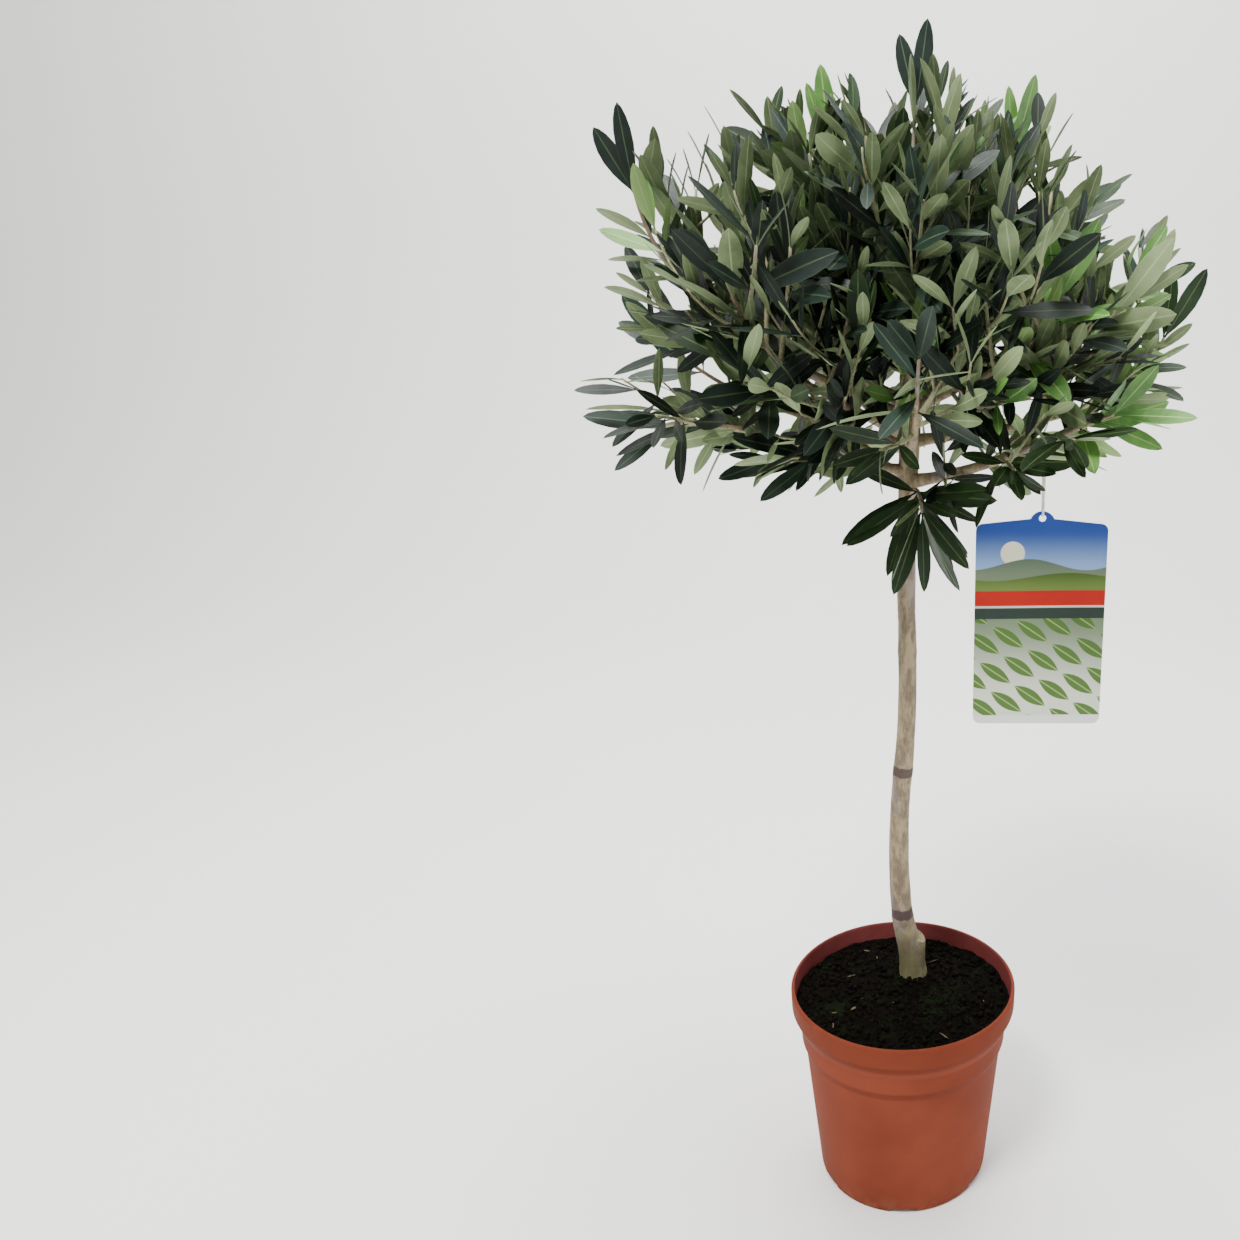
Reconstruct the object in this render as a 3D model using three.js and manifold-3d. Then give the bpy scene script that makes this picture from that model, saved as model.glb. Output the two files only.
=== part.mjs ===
// A potted olive tree: a full, round crown on one bare stem, standing in a terracotta-coloured nursery pot.
// Millimetres, +Z up. The origin is the centre of the pot's flat underside. Seen from the front, which is
// the -Y side, +X is on the right. Bearings are in degrees, anticlockwise from +X as seen from above.
import * as THREE from "three";
import { mergeVertices } from "three/addons/utils/BufferGeometryUtils.js";
import Module from "manifold-3d";

const wasm = await Module();
wasm.setup();

// Gap between pieces that rest on or meet each other.
const CLEAR = 0.3;
const UP = new THREE.Vector3(0, 0, 1);

// The pot: a moulded shell with a rolled rim, a wide band under it and a second, lower band.
const POT_HEIGHT = 175;
const POT_FACETS = 32;
const POT_FLOOR = 7;
const POT_OUTSIDE = [
  [71, 0],
  [72.2, 4],
  [82.7, 112],
  [83.6, 121],
  [86.9, 129],
  [88, 143],
  [90.3, 150],
  [94.6, 158],
  [95, 173],
  [93.6, POT_HEIGHT],
];
const POT_INSIDE = [
  [91.8, 174],
  [91.2, 159],
  [84.6, 133],
  [80.4, 115],
  [69.8, POT_FLOOR],
];
const DRAIN_SLOTS = 6;
const DRAIN_SLOT = { width: 21, depth: 14, height: 4.5 };

// The potting soil: level at the wall, with a low mound round the stem.
const SOIL_EDGE = 161;
const SOIL_TOP = 167;
const MOUND_RADIUS = 52;

// The trunk's centreline, from under the soil to the fork, and its radius at chosen heights.
const TRUNK_LINE = [
  [9, 26, 152],
  [8.5, 26, 170],
  [6, 25, 190],
  [-0.5, 22, 226],
  [-3.4, 16, 280],
  [-2.4, 10, 334],
  [2, 4, 394],
  [3.6, 1, 450],
  [2.4, 0, 530],
  [4, 0, 610],
  [6, 0, 660],
  [6, 0, 696],
];
const TRUNK_RADIUS = [
  [152, 13],
  [170, 11.4],
  [190, 10.2],
  [226, 9],
  [334, 7.8],
  [480, 7],
  [590, 7.2],
  [650, 8],
  [680, 8.6],
  [696, 7.6],
];
const TRUNK_SIDES = 10;
const TRUNK_STEPS = 16;
// The sawn-off stub of an old second stem, at the foot.
const STUB = { foot: [9.5, 24, 152], head: [12.6, 25, 216], radius: [9.4, 6.8], sides: 8 };
const STUB_CUT = { facing: [-0.5, 0.15, -0.85], through: [19.5, 25, 199] };

// The crown: an upright dome with a flattened underside, which the leaves fill to its skin.
const CROWN_AXIS = new THREE.Vector2(-2, 0);
const CROWN_RADIUS = 230;
const CROWN_WAIST = 692;
const CROWN_TOP = 905;
const CROWN_UNDERSIDE = 588;
// The underside rises towards the right by this share of the way across.
const UNDERSIDE_SLOPE = 0.06;
const CROWN_SQUARENESS = { above: 2.5, below: 1.7 };

// Leaves: opposite pairs, each pair a quarter turn on from the last, fewer than on the real tree and
// a little larger. Half width, thickness and droop are shares of the length.
const LEAF_LENGTH = 68;
const LEAF_HALF_WIDTH = 0.135;
const LEAF_THICKNESS = 0.025;
const LEAF_DROOP = 0.05;
const LEAF_ROOT_DEPTH = 0.4;
const LEAF_GAP = 2.8;
const PAIR_SPACING = 18;
const LEAF_RAISE = 0.12;
// Turn from the shoot, length and roll round the shoot of a leaf, tried in this order until one has room.
const LEAF_TRIES = [
  { spread: 1, shrink: 1, roll: 0 },
  { spread: 0.55, shrink: 1, roll: 0 },
  { spread: 0.9, shrink: 0.85, roll: 0.7 },
  { spread: 0.9, shrink: 0.85, roll: -0.7 },
  { spread: 0.45, shrink: 0.8, roll: 0 },
  { spread: 1.3, shrink: 0.8, roll: 0 },
];
// How far the first and the last pair of a shoot stand off it, in degrees.
const PAIR_OPEN = { first: 56, last: 17 };
// The leader, the last pair of a stem: the length of its leaves, how far each stands off the stem, in
// degrees, and its share of the length. The pair spreads across the view from the front and faces it.
const LEADER = { length: 58, open: [5, 24], share: [1, 0.84] };
const FRONT = new THREE.Vector3(0, -1, 0);
// The knot of leaves that nods from the end of a drooping limb.
const KNOT = { depth: 26, spacing: 5.5, size: 1.1, open: 80 };

// Each limb leaves the trunk at the height "from" towards "bearing", sets off at the slope "leaves" and
// ends at the slope "ends", with its outermost leaf tips at "reach" from the crown's axis and at the
// height "tip". "lift" draws its shoots upwards: within FLAT of 0 they spread flat, and a limb below
// that nods with none.
const FLAT = 0.1;
// How much further out in the crown a flat limb's shoots and leaves may reach.
const FLAT_REACH = 0.14;
const LIMBS = [
  { name: "top", bearing: 40, from: 700, leaves: 86, ends: 84, reach: 20, tip: 922, lift: 0.8 },
  { name: "right_high", bearing: 8, from: 672, leaves: 40, ends: 80, reach: 90, tip: 888, lift: 0.8 },
  { name: "back_high", bearing: 98, from: 664, leaves: 42, ends: 78, reach: 92, tip: 866, lift: 0.8 },
  { name: "left_high", bearing: 184, from: 680, leaves: 48, ends: 80, reach: 58, tip: 890, lift: 0.8 },
  { name: "front_high", bearing: 268, from: 668, leaves: 44, ends: 76, reach: 96, tip: 852, lift: 0.8 },
  { name: "left_crest", bearing: 190, from: 650, leaves: 24, ends: 78, reach: 194, tip: 862, lift: 0.8 },
  { name: "back_left", bearing: 138, from: 654, leaves: 26, ends: 68, reach: 182, tip: 826, lift: 0.7 },
  { name: "back_right", bearing: 42, from: 658, leaves: 28, ends: 68, reach: 166, tip: 822, lift: 0.7 },
  { name: "front_left", bearing: 230, from: 636, leaves: 24, ends: 64, reach: 190, tip: 800, lift: 0.7 },
  { name: "front", bearing: 274, from: 622, leaves: 18, ends: 56, reach: 196, tip: 752, lift: 0.6 },
  { name: "front_right", bearing: 312, from: 656, leaves: 26, ends: 66, reach: 172, tip: 790, lift: 0.7 },
  { name: "right", bearing: 2, from: 634, leaves: 8, ends: 64, reach: 218, tip: 760, lift: 0.3 },
  { name: "back", bearing: 88, from: 642, leaves: 18, ends: 52, reach: 204, tip: 752, lift: 0.6 },
  { name: "left", bearing: 166, from: 630, leaves: 14, ends: 40, reach: 224, tip: 736, lift: 0.6 },
  { name: "left_low", bearing: 197, from: 610, leaves: 10, ends: -6, reach: 228, tip: 644, lift: -0.05 },
  { name: "right_low", bearing: 324, from: 604, leaves: 12, ends: 22, reach: 226, tip: 686, lift: -0.05 },
  { name: "back_low", bearing: 112, from: 604, leaves: 8, ends: 8, reach: 208, tip: 640, lift: 0.05 },
  { name: "front_low", bearing: 282, from: 586, leaves: 30, ends: -62, reach: 100, tip: 542, lift: -0.6 },
];
// How much of a limb's span its two ends run straight.
const LIMB_STRAIGHT = { first: 0.42, last: 0.34 };
const BOUGH_SIDES = 5;
const BOUGH_STEPS = 3;
const BOUGH_RADIUS = { root: 4.6, tip: 2.7 };
const SHORTEST_BOUGH = 0.3;
// A bough ends where its limb enters its own mass of foliage, except the one that the label hangs from.
const LABEL_LIMB = "right_low";
const LABEL_BOUGH_LENGTH = 126;
// The stem that carries a bough on through its mass, bare of leaves over a share of its length.
const STEM = { radius: { root: 2.4, tip: 1.1 }, sides: 3, steps: 4, bare: 0.5, size: 1.08 };
// The side shoots of a stem: "set" is their angle from it in radians, "bends" the share at which they turn
// up, and "within" how far out in the crown they may end.
const SHOOT = {
  count: 5,
  length: 88,
  radius: { root: 1.6, tip: 1.05 },
  sides: 3,
  steps: 2,
  gap: 11,
  set: 0.95,
  bends: 0.42,
  bare: 0.36,
  within: 0.84,
  from: 0.04,
  to: 0.78,
};
const GOLDEN_ANGLE = THREE.MathUtils.degToRad(137.5);
// Turn and length of a side shoot, tried in this order until one has room.
const SHOOT_TRIES = [
  [0, 1.15],
  [0, 0.9],
  [0.9, 1.1],
  [-0.9, 1.1],
  [0, 0.7],
  [1.7, 0.9],
  [-1.7, 0.9],
  [0, 0.55],
];

// Each mass of foliage has a site on its limb and keeps to the space nearer to it than to the other sites.
// The depths are how far inside that space its leaves and shoots stay and its stem starts and ends.
const SITE_SHARE = 0.7;
const LINE_SAMPLES = 60;
const EXIT_STEP = 0.02;
const DEPTH = { leaf: 0.6, shoot: 2, entry: 5, exit: 2 };
const STEM_CLEAR = 0.42;

// The plain plant label: a card with an eyelet tab, hung from the low right bough by a thin loop.
const LABEL = { width: 92, height: 148, thickness: 0.9, corner: 5, tab: 9, hole: 2.6, hangs: 48.3 };
const LABEL_ACROSS = 97;
const EYE_INSET = 2.4;
const LOOP = { width: 1.6, thickness: 0.8, wide: 5.3, narrow: 1.9, seat: 4.5 };

// Shared helpers

function solidOf(geometry) {
  const bare = geometry.clone();
  bare.deleteAttribute("normal");
  bare.deleteAttribute("uv");
  const merged = mergeVertices(bare, 1e-4);
  return new wasm.Manifold(
    new wasm.Mesh({
      numProp: 3,
      vertProperties: merged.attributes.position.array,
      triVerts: new Uint32Array(merged.index.array),
    }),
  );
}

function geometryOf(solid) {
  const mesh = solid.getMesh();
  const geometry = new THREE.BufferGeometry();
  geometry.setAttribute("position", new THREE.BufferAttribute(mesh.vertProperties, 3));
  geometry.setIndex(new THREE.BufferAttribute(mesh.triVerts, 1));
  geometry.computeVertexNormals();
  return geometry;
}

// The largest piece of a solid, without loose scraps and sealed hollows.
function wholePiece(solid) {
  return solid.decompose().sort((a, b) => b.volume() - a.volume())[0];
}

function seeded(seed) {
  let state = seed >>> 0;
  return () => {
    state = (state + 0x6d2b79f5) >>> 0;
    let t = Math.imul(state ^ (state >>> 15), state | 1);
    t ^= t + Math.imul(t ^ (t >>> 7), t | 61);
    return ((t ^ (t >>> 14)) >>> 0) / 4294967296;
  };
}

// A value read off a list of [position, value] pairs, with straight stretches between them.
function along(pairs, position) {
  const next = pairs.findIndex(([at]) => at >= position);
  if (next === 0) return pairs[0][1];
  if (next < 0) return pairs.at(-1)[1];
  const [[a, from], [b, to]] = [pairs[next - 1], pairs[next]];
  return THREE.MathUtils.mapLinear(position, a, b, from, to);
}

function direction(bearing, slope) {
  const [b, s] = [THREE.MathUtils.degToRad(bearing), THREE.MathUtils.degToRad(slope)];
  return new THREE.Vector3(Math.cos(b) * Math.cos(s), Math.sin(b) * Math.cos(s), Math.sin(s));
}

// A tapering limb: a closed cylinder whose rings are moved onto a curve. radiusAt takes the share along it.
function limb(curve, radiusAt, sides, steps) {
  const geometry = new THREE.CylinderGeometry(1, 1, 1, sides, steps);
  const frames = curve.computeFrenetFrames(steps);
  const rings = frames.tangents.map((_, i) => curve.getPointAt(i / steps));
  const position = geometry.attributes.position;
  for (let i = 0; i < position.count; i++) {
    const ring = Math.round((position.getY(i) + 0.5) * steps);
    const radius = radiusAt(ring / steps);
    const point = rings[ring]
      .clone()
      .addScaledVector(frames.normals[ring], radius * position.getX(i))
      .addScaledVector(frames.binormals[ring], -radius * position.getZ(i));
    position.setXYZ(i, point.x, point.y, point.z);
  }
  return solidOf(geometry);
}

function taper({ root, tip }) {
  return (share) => THREE.MathUtils.lerp(root, tip, share);
}

// The pot and its soil

function lathe(profile) {
  const points = profile.map(([radius, height]) => new THREE.Vector2(radius, height));
  const geometry = new THREE.LatheGeometry(points, POT_FACETS);
  geometry.rotateX(Math.PI / 2);
  return solidOf(geometry);
}

function makePot() {
  const shell = lathe([[0, 0], ...POT_OUTSIDE, ...POT_INSIDE, [0, POT_FLOOR]]);
  const slot = new THREE.BoxGeometry(2 * DRAIN_SLOT.depth, DRAIN_SLOT.width, 2 * DRAIN_SLOT.height);
  const slots = [];
  for (let i = 0; i < DRAIN_SLOTS; i++) {
    const turn = (i / DRAIN_SLOTS) * 2 * Math.PI + Math.PI / 2;
    const placed = slot.clone().translate(POT_OUTSIDE[0][0], 0, 0).rotateZ(turn);
    slots.push(solidOf(placed));
  }
  return shell.subtract(wasm.Manifold.union(slots));
}

function makeSoil() {
  const wall = POT_INSIDE.filter(([, height]) => height < SOIL_EDGE - 1).reverse();
  const skirt = wall.map(([radius, height]) => [radius - CLEAR, Math.max(height, POT_FLOOR + CLEAR)]);
  const edge = [90.6 - CLEAR, SOIL_EDGE];
  return lathe([[0, POT_FLOOR + CLEAR], ...skirt, edge, [MOUND_RADIUS, SOIL_TOP], [0, SOIL_TOP]]);
}

// The trunk

const trunkLine = new THREE.CatmullRomCurve3(TRUNK_LINE.map((p) => new THREE.Vector3(...p)));

function trunkSolid(extra) {
  const heightAt = (share) => trunkLine.getPointAt(share).z;
  return limb(trunkLine, (share) => along(TRUNK_RADIUS, heightAt(share)) + extra, TRUNK_SIDES, TRUNK_STEPS);
}

function makeTrunk() {
  const stubLine = new THREE.LineCurve3(new THREE.Vector3(...STUB.foot), new THREE.Vector3(...STUB.head));
  const facing = new THREE.Vector3(...STUB_CUT.facing);
  const stub = limb(stubLine, (share) => THREE.MathUtils.lerp(...STUB.radius, share), STUB.sides, 1);
  const sawn = stub.trimByPlane(STUB_CUT.facing, facing.dot(new THREE.Vector3(...STUB_CUT.through)));
  return trunkSolid(0).add(sawn).trimByPlane([0, 0, 1], SOIL_TOP + CLEAR);
}

// Where each limb runs. Its bough is the stretch up to where the limb enters its own mass's space.

function pointOnTrunk(height) {
  const points = trunkLine.getSpacedPoints(120);
  return points.reduce((a, b) => (Math.abs(b.z - height) < Math.abs(a.z - height) ? b : a));
}

function limbLine(spec) {
  const start = pointOnTrunk(spec.from).clone();
  const tip = direction(spec.bearing, 0).multiplyScalar(spec.reach);
  tip.add(new THREE.Vector3(CROWN_AXIS.x, CROWN_AXIS.y, spec.tip));
  const ending = direction(spec.bearing, spec.ends);
  const end = tip.addScaledVector(ending, -LEADER.length);
  const span = start.distanceTo(end);
  const leaving = direction(spec.bearing, spec.leaves);
  const first = start.clone().addScaledVector(leaving, LIMB_STRAIGHT.first * span);
  const second = end.clone().addScaledVector(ending, -LIMB_STRAIGHT.last * span);
  return new THREE.CubicBezierCurve3(start, first, second, end);
}

const limbs = LIMBS.map((spec) => {
  const [nods, flat] = [spec.lift < -FLAT, Math.abs(spec.lift) < FLAT];
  const line = limbLine(spec);
  return { ...spec, nods, flat, line, site: line.getPointAt(nods ? 1 : SITE_SHARE) };
});

// How far a point lies inside a mass's own space, and negative outside it.
function depthInside(item, point) {
  let depth = Infinity;
  for (const other of limbs) {
    if (other === item) continue;
    const apart = other.site.distanceTo(item.site);
    const past = point.distanceToSquared(other.site) - point.distanceToSquared(item.site);
    depth = Math.min(depth, past / (2 * apart));
  }
  return depth;
}

function entryShare(item) {
  let last = 0;
  for (let i = 0; i <= LINE_SAMPLES * SITE_SHARE; i++) {
    const inside = depthInside(item, item.line.getPointAt(i / LINE_SAMPLES)) > DEPTH.entry;
    if (!inside) last = i;
  }
  return Math.max(SHORTEST_BOUGH, (last + 1) / LINE_SAMPLES);
}

function exitShare(item) {
  let share = SITE_SHARE;
  const depthAt = (at) => depthInside(item, item.line.getPointAt(at));
  while (share < 1 && depthAt(share + EXIT_STEP) > DEPTH.exit) share += EXIT_STEP;
  return Math.min(share, 1);
}

// The stretch of a curve between two shares of its length, as a curve of its own.
function stretch(curve, from, to) {
  const points = [];
  for (let i = 0; i <= 8; i++) points.push(curve.getPointAt(THREE.MathUtils.lerp(from, to, i / 8)));
  return new THREE.CatmullRomCurve3(points);
}

for (const item of limbs) {
  const length = item.line.getLength();
  item.enters = item.name === LABEL_LIMB ? LABEL_BOUGH_LENGTH / length : entryShare(item);
  item.bough = stretch(item.line, 0, item.enters);
  item.stem = stretch(item.line, item.enters + STEM_CLEAR / length, exitShare(item));
}

// What the leaves and shoots keep clear of: the trunk, every bough and the label with its loop.

const obstacles = [];
function addObstacle(curve, steps, radiusAt) {
  for (let i = 0; i < steps; i++) {
    const line = new THREE.Line3(curve.getPointAt(i / steps), curve.getPointAt((i + 1) / steps));
    obstacles.push({ line, radius: radiusAt((i + 0.5) / steps) });
  }
}
addObstacle(trunkLine, 40, (share) => along(TRUNK_RADIUS, trunkLine.getPointAt(share).z));
for (const item of limbs) addObstacle(item.bough, 8, taper(BOUGH_RADIUS));

// The label hangs below the low right limb, where that limb passes over "across".
const hangPoint = limbs
  .find((item) => item.name === LABEL_LIMB)
  .line.getSpacedPoints(200)
  .reduce((a, b) => (Math.abs(b.x - LABEL_ACROSS) < Math.abs(a.x - LABEL_ACROSS) ? b : a));
const labelTop = new THREE.Vector3(hangPoint.x, hangPoint.y, hangPoint.z - LABEL.hangs);
const loopObstacle = new THREE.LineCurve3(labelTop, hangPoint.clone().setZ(hangPoint.z + 4));
addObstacle(loopObstacle, 1, () => LOOP.wide + LOOP.thickness / 2);

function clearOfCard(point) {
  const before = Math.abs(point.x - labelTop.x) < LABEL.width / 2 + 2 && point.z < labelTop.z + 2;
  return !before || Math.abs(point.y - labelTop.y) > 5;
}

// The share of the crown's radius at which a point lies.
function crownShare(point) {
  const above = point.z > CROWN_WAIST;
  const half = above ? CROWN_TOP - CROWN_WAIST : CROWN_WAIST - CROWN_UNDERSIDE - UNDERSIDE_SLOPE * point.x;
  const power = above ? CROWN_SQUARENESS.above : CROWN_SQUARENESS.below;
  const out = Math.hypot(point.x - CROWN_AXIS.x, point.y - CROWN_AXIS.y) / CROWN_RADIUS;
  const rise = Math.abs(point.z - CROWN_WAIST) / half;
  return (out ** power + rise ** power) ** (1 / power);
}

// Leaves

// A point of a leaf: across and forward are shares of its half width and its length, up is in millimetres.
function onLeaf({ root, ahead, face, side, length }, across, forward, up) {
  return root
    .clone()
    .addScaledVector(side, across * LEAF_HALF_WIDTH * length)
    .addScaledVector(ahead, forward * length)
    .addScaledVector(face, up - LEAF_DROOP * length * forward ** 2);
}

// A blade with a ridge on its upper face: a pointed root, three corners and a tip in its outline.
function leafSolid(leaf) {
  const corners = [
    onLeaf(leaf, 0, 0, 0),
    onLeaf(leaf, 0, 0.34, LEAF_THICKNESS * leaf.length),
    onLeaf(leaf, 0.9, 0.32, 0),
    onLeaf(leaf, 0.86, 0.72, 0),
    onLeaf(leaf, 0, 1, 0),
    onLeaf(leaf, -1, 0.5, 0),
  ];
  const upper = [0, 2, 1, 2, 3, 1, 3, 4, 1, 4, 5, 1, 5, 0, 1];
  const under = [0, 5, 2, 5, 3, 2, 5, 4, 3];
  const geometry = new THREE.BufferGeometry().setFromPoints(corners);
  geometry.setIndex([...upper, ...under]);
  return solidOf(geometry);
}

// The least distance between two straight stretches.
function gapBetween(one, other) {
  const [u, v, w] = [one.delta(new THREE.Vector3()), other.delta(new THREE.Vector3()), one.start.clone()];
  w.sub(other.start);
  const [a, b, c, d, e] = [u.dot(u), u.dot(v), v.dot(v), u.dot(w), v.dot(w)];
  const across = a * c - b * b;
  let s = across > 1e-6 ? THREE.MathUtils.clamp((b * e - c * d) / across, 0, 1) : 0;
  const t = THREE.MathUtils.clamp((b * s + e) / c, 0, 1);
  s = THREE.MathUtils.clamp((b * t - d) / a, 0, 1);
  return one.at(s, new THREE.Vector3()).distanceTo(other.at(t, new THREE.Vector3()));
}

function touchesObstacle(line) {
  return obstacles.some((other) => gapBetween(line, other.line) < other.radius + LEAF_GAP);
}

// A leaf fits where it stays in its mass's space and in the crown, clear of limbs, twigs and other leaves.
function fits(item, leaf, room) {
  const lines = [-0.6, 0, 0.6].map(
    (across) => new THREE.Line3(onLeaf(leaf, across, 0.25, 0), onLeaf(leaf, across, across ? 0.8 : 1, 0)),
  );
  const points = lines.flatMap((line) => [line.start, line.getCenter(new THREE.Vector3()), line.end]);
  for (const [across, forward] of [[0.86, 0.34], [0.88, 0.7]]) {
    points.push(onLeaf(leaf, across, forward, 0), onLeaf(leaf, -across, forward, 0));
  }
  if (!points.every((p) => depthInside(item, p) > DEPTH.leaf && clearOfCard(p))) return false;
  if (lines.some(touchesObstacle)) return false;
  if (crownShare(onLeaf(leaf, 0, 1, 0)) > leaf.bound) return false;
  if (lines.some((line) => room.some((other) => gapBetween(line, other) < LEAF_GAP))) return false;
  room.push(...lines);
  return true;
}

// Which way a leaf points and faces: turned outward from its shoot by "tilt", raised a little, then twisted,
// or turned towards "facing".
function aimLeaf({ axis, outward, tilt, twist, raise, facing }) {
  const ahead = axis.clone().multiplyScalar(Math.cos(tilt)).addScaledVector(outward, Math.sin(tilt));
  ahead.z += raise;
  ahead.normalize();
  const face = facing.clone().addScaledVector(UP, 0.6).addScaledVector(outward, -0.2);
  face.addScaledVector(ahead, -face.dot(ahead)).normalize();
  face.applyAxisAngle(ahead, twist);
  return { ahead, face, side: new THREE.Vector3().crossVectors(ahead, face) };
}

// Opposite pairs of leaves on the outer stretch of a shoot. A leaf makes a smaller angle with the shoot the
// nearer it is to the tip, and turns its face to the sky where the shoot lies flat.
function dressShoot(item, shoot, rng, room) {
  const made = [];
  const { curve, bare, size, spacing, free } = shoot;
  const length = curve.getLength();
  const pairs = Math.max(1, Math.round((length - bare) / spacing));
  const roll = rng() * Math.PI;
  const raise = LEAF_RAISE * Math.sign(item.lift);
  for (let i = 0; i <= pairs; i++) {
    const share = Math.min((bare + (i * (length - bare)) / pairs) / length, 0.98);
    const axis = curve.getTangentAt(share);
    const across = new THREE.Vector3().crossVectors(axis, UP);
    if (across.lengthSq() < 0.01) across.set(1, 0, 0);
    across.normalize().applyAxisAngle(axis, roll + (i * Math.PI) / 2);
    const last = free && i === pairs;
    if (last) across.crossVectors(axis, FRONT).normalize();
    const firstOpen = item.nods ? KNOT.open : PAIR_OPEN.first;
    const open = THREE.MathUtils.degToRad(THREE.MathUtils.lerp(firstOpen, PAIR_OPEN.last, i / pairs));
    for (const hand of [1, -1]) {
      const outward = across.clone().multiplyScalar(hand);
      const root = curve.getPointAt(share).addScaledVector(outward, -LEAF_ROOT_DEPTH);
      const [a, b, c, d] = [rng(), rng(), rng(), rng()];
      const lower = hand < 0 ? 1 : 0;
      const full = last ? LEADER.length * LEADER.share[lower] : LEAF_LENGTH * size * (0.84 + 0.32 * c);
      const bound = last || item.nods ? Infinity : 0.95 + 0.1 * d + (item.flat ? FLAT_REACH : 0);
      const leaves = LEAF_TRIES.map(({ spread, shrink, roll: turn }) => {
        const off = last ? THREE.MathUtils.degToRad(LEADER.open[lower]) : open;
        const tilt = off * spread * (0.8 + 0.4 * a);
        const turned = outward.clone().applyAxisAngle(axis, turn);
        const facing = last ? FRONT : axis;
        const aim = aimLeaf({ axis, outward: turned, tilt, twist: (b - 0.5) * 1.2, raise, facing });
        return { root, bound, length: full * shrink, ...aim };
      });
      const leaf = leaves.find((candidate) => fits(item, candidate, room));
      if (leaf) made.push(leaf);
    }
  }
  return made;
}

// A side shoot: it leaves the stem at an angle, a golden angle round from the last one, and turns up.
function sideShoot(item, share, turn, length) {
  const root = item.stem.getPointAt(share);
  const axis = item.stem.getTangentAt(share);
  const across = new THREE.Vector3().crossVectors(axis, UP).normalize().applyAxisAngle(axis, turn);
  const set = axis.clone().multiplyScalar(Math.cos(SHOOT.set)).addScaledVector(across, Math.sin(SHOOT.set));
  const bend = set.clone().multiplyScalar(1 - Math.abs(item.lift));
  bend.addScaledVector(UP, item.lift).normalize();
  const middle = root.clone().addScaledVector(set, SHOOT.bends * length);
  const end = middle.clone().addScaledVector(bend, (1 - SHOOT.bends) * length);
  return new THREE.QuadraticBezierCurve3(root, middle, end);
}

function segments(curve, steps) {
  const points = curve.getSpacedPoints(steps);
  return points.slice(1).map((point, i) => new THREE.Line3(points[i], point));
}

function shootFits(item, curve, room) {
  for (let i = 3; i <= 10; i++) {
    const point = curve.getPointAt(i / 10);
    if (depthInside(item, point) < DEPTH.shoot || !clearOfCard(point)) return false;
  }
  const outer = segments(curve, 3).slice(1);
  const crowds = (line) => room.some((other) => gapBetween(line, other) < SHOOT.gap);
  const meets = (line) => crowds(line) || touchesObstacle(line);
  const within = SHOOT.within + (item.flat ? FLAT_REACH : 0);
  return !outer.some(meets) && crownShare(curve.getPointAt(1)) < within;
}

function growShoots(item, rng, room) {
  const shoots = [];
  let turn = item.flat ? 0.2 : rng() * 2 * Math.PI;
  for (let i = 0; i < SHOOT.count; i++) {
    const place = (i + 0.4 * rng()) / (SHOOT.count - 0.6);
    const share = THREE.MathUtils.lerp(SHOOT.from, SHOOT.to, place);
    for (const [twist, factor] of SHOOT_TRIES) {
      const curve = sideShoot(item, share, turn + twist, SHOOT.length * factor);
      if (!shootFits(item, curve, room)) continue;
      shoots.push(curve);
      room.push(...segments(curve, 2));
      break;
    }
    turn += item.flat ? Math.PI : GOLDEN_ANGLE;
  }
  return shoots;
}

function makeMass(item, index) {
  const rng = seeded(1009 + 31 * index);
  const room = segments(item.stem, 4);
  const reach = item.stem.getLength();
  const twigs = item.nods ? [] : growShoots(item, rng, room);
  const { size, bare } = STEM;
  const leader = { curve: item.stem, free: true, spacing: PAIR_SPACING, size, bare: bare * reach };
  if (item.nods) {
    Object.assign(leader, { spacing: KNOT.spacing, size: KNOT.size, bare: reach - KNOT.depth });
  }
  const shoots = twigs.map((curve) => {
    return { curve, free: false, spacing: PAIR_SPACING, size: 1, bare: SHOOT.bare * curve.getLength() };
  });
  const leaves = [leader, ...shoots].flatMap((shoot) => dressShoot(item, shoot, rng, room));
  const wood = [limb(item.stem, taper(STEM.radius), STEM.sides, STEM.steps)];
  for (const curve of twigs) wood.push(limb(curve, taper(SHOOT.radius), SHOOT.sides, SHOOT.steps));
  return wholePiece(wasm.Manifold.union([...wood, ...leaves.map(leafSolid)]));
}

function makeBoughs() {
  const thicker = trunkSolid(CLEAR);
  const trunk = thicker.add(thicker.translate([0, 0, CLEAR]));
  return limbs.map((item) => {
    const solid = limb(item.bough, taper(BOUGH_RADIUS), BOUGH_SIDES, BOUGH_STEPS);
    return [item, wholePiece(solid.subtract(trunk))];
  });
}

// The label and its loop

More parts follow.
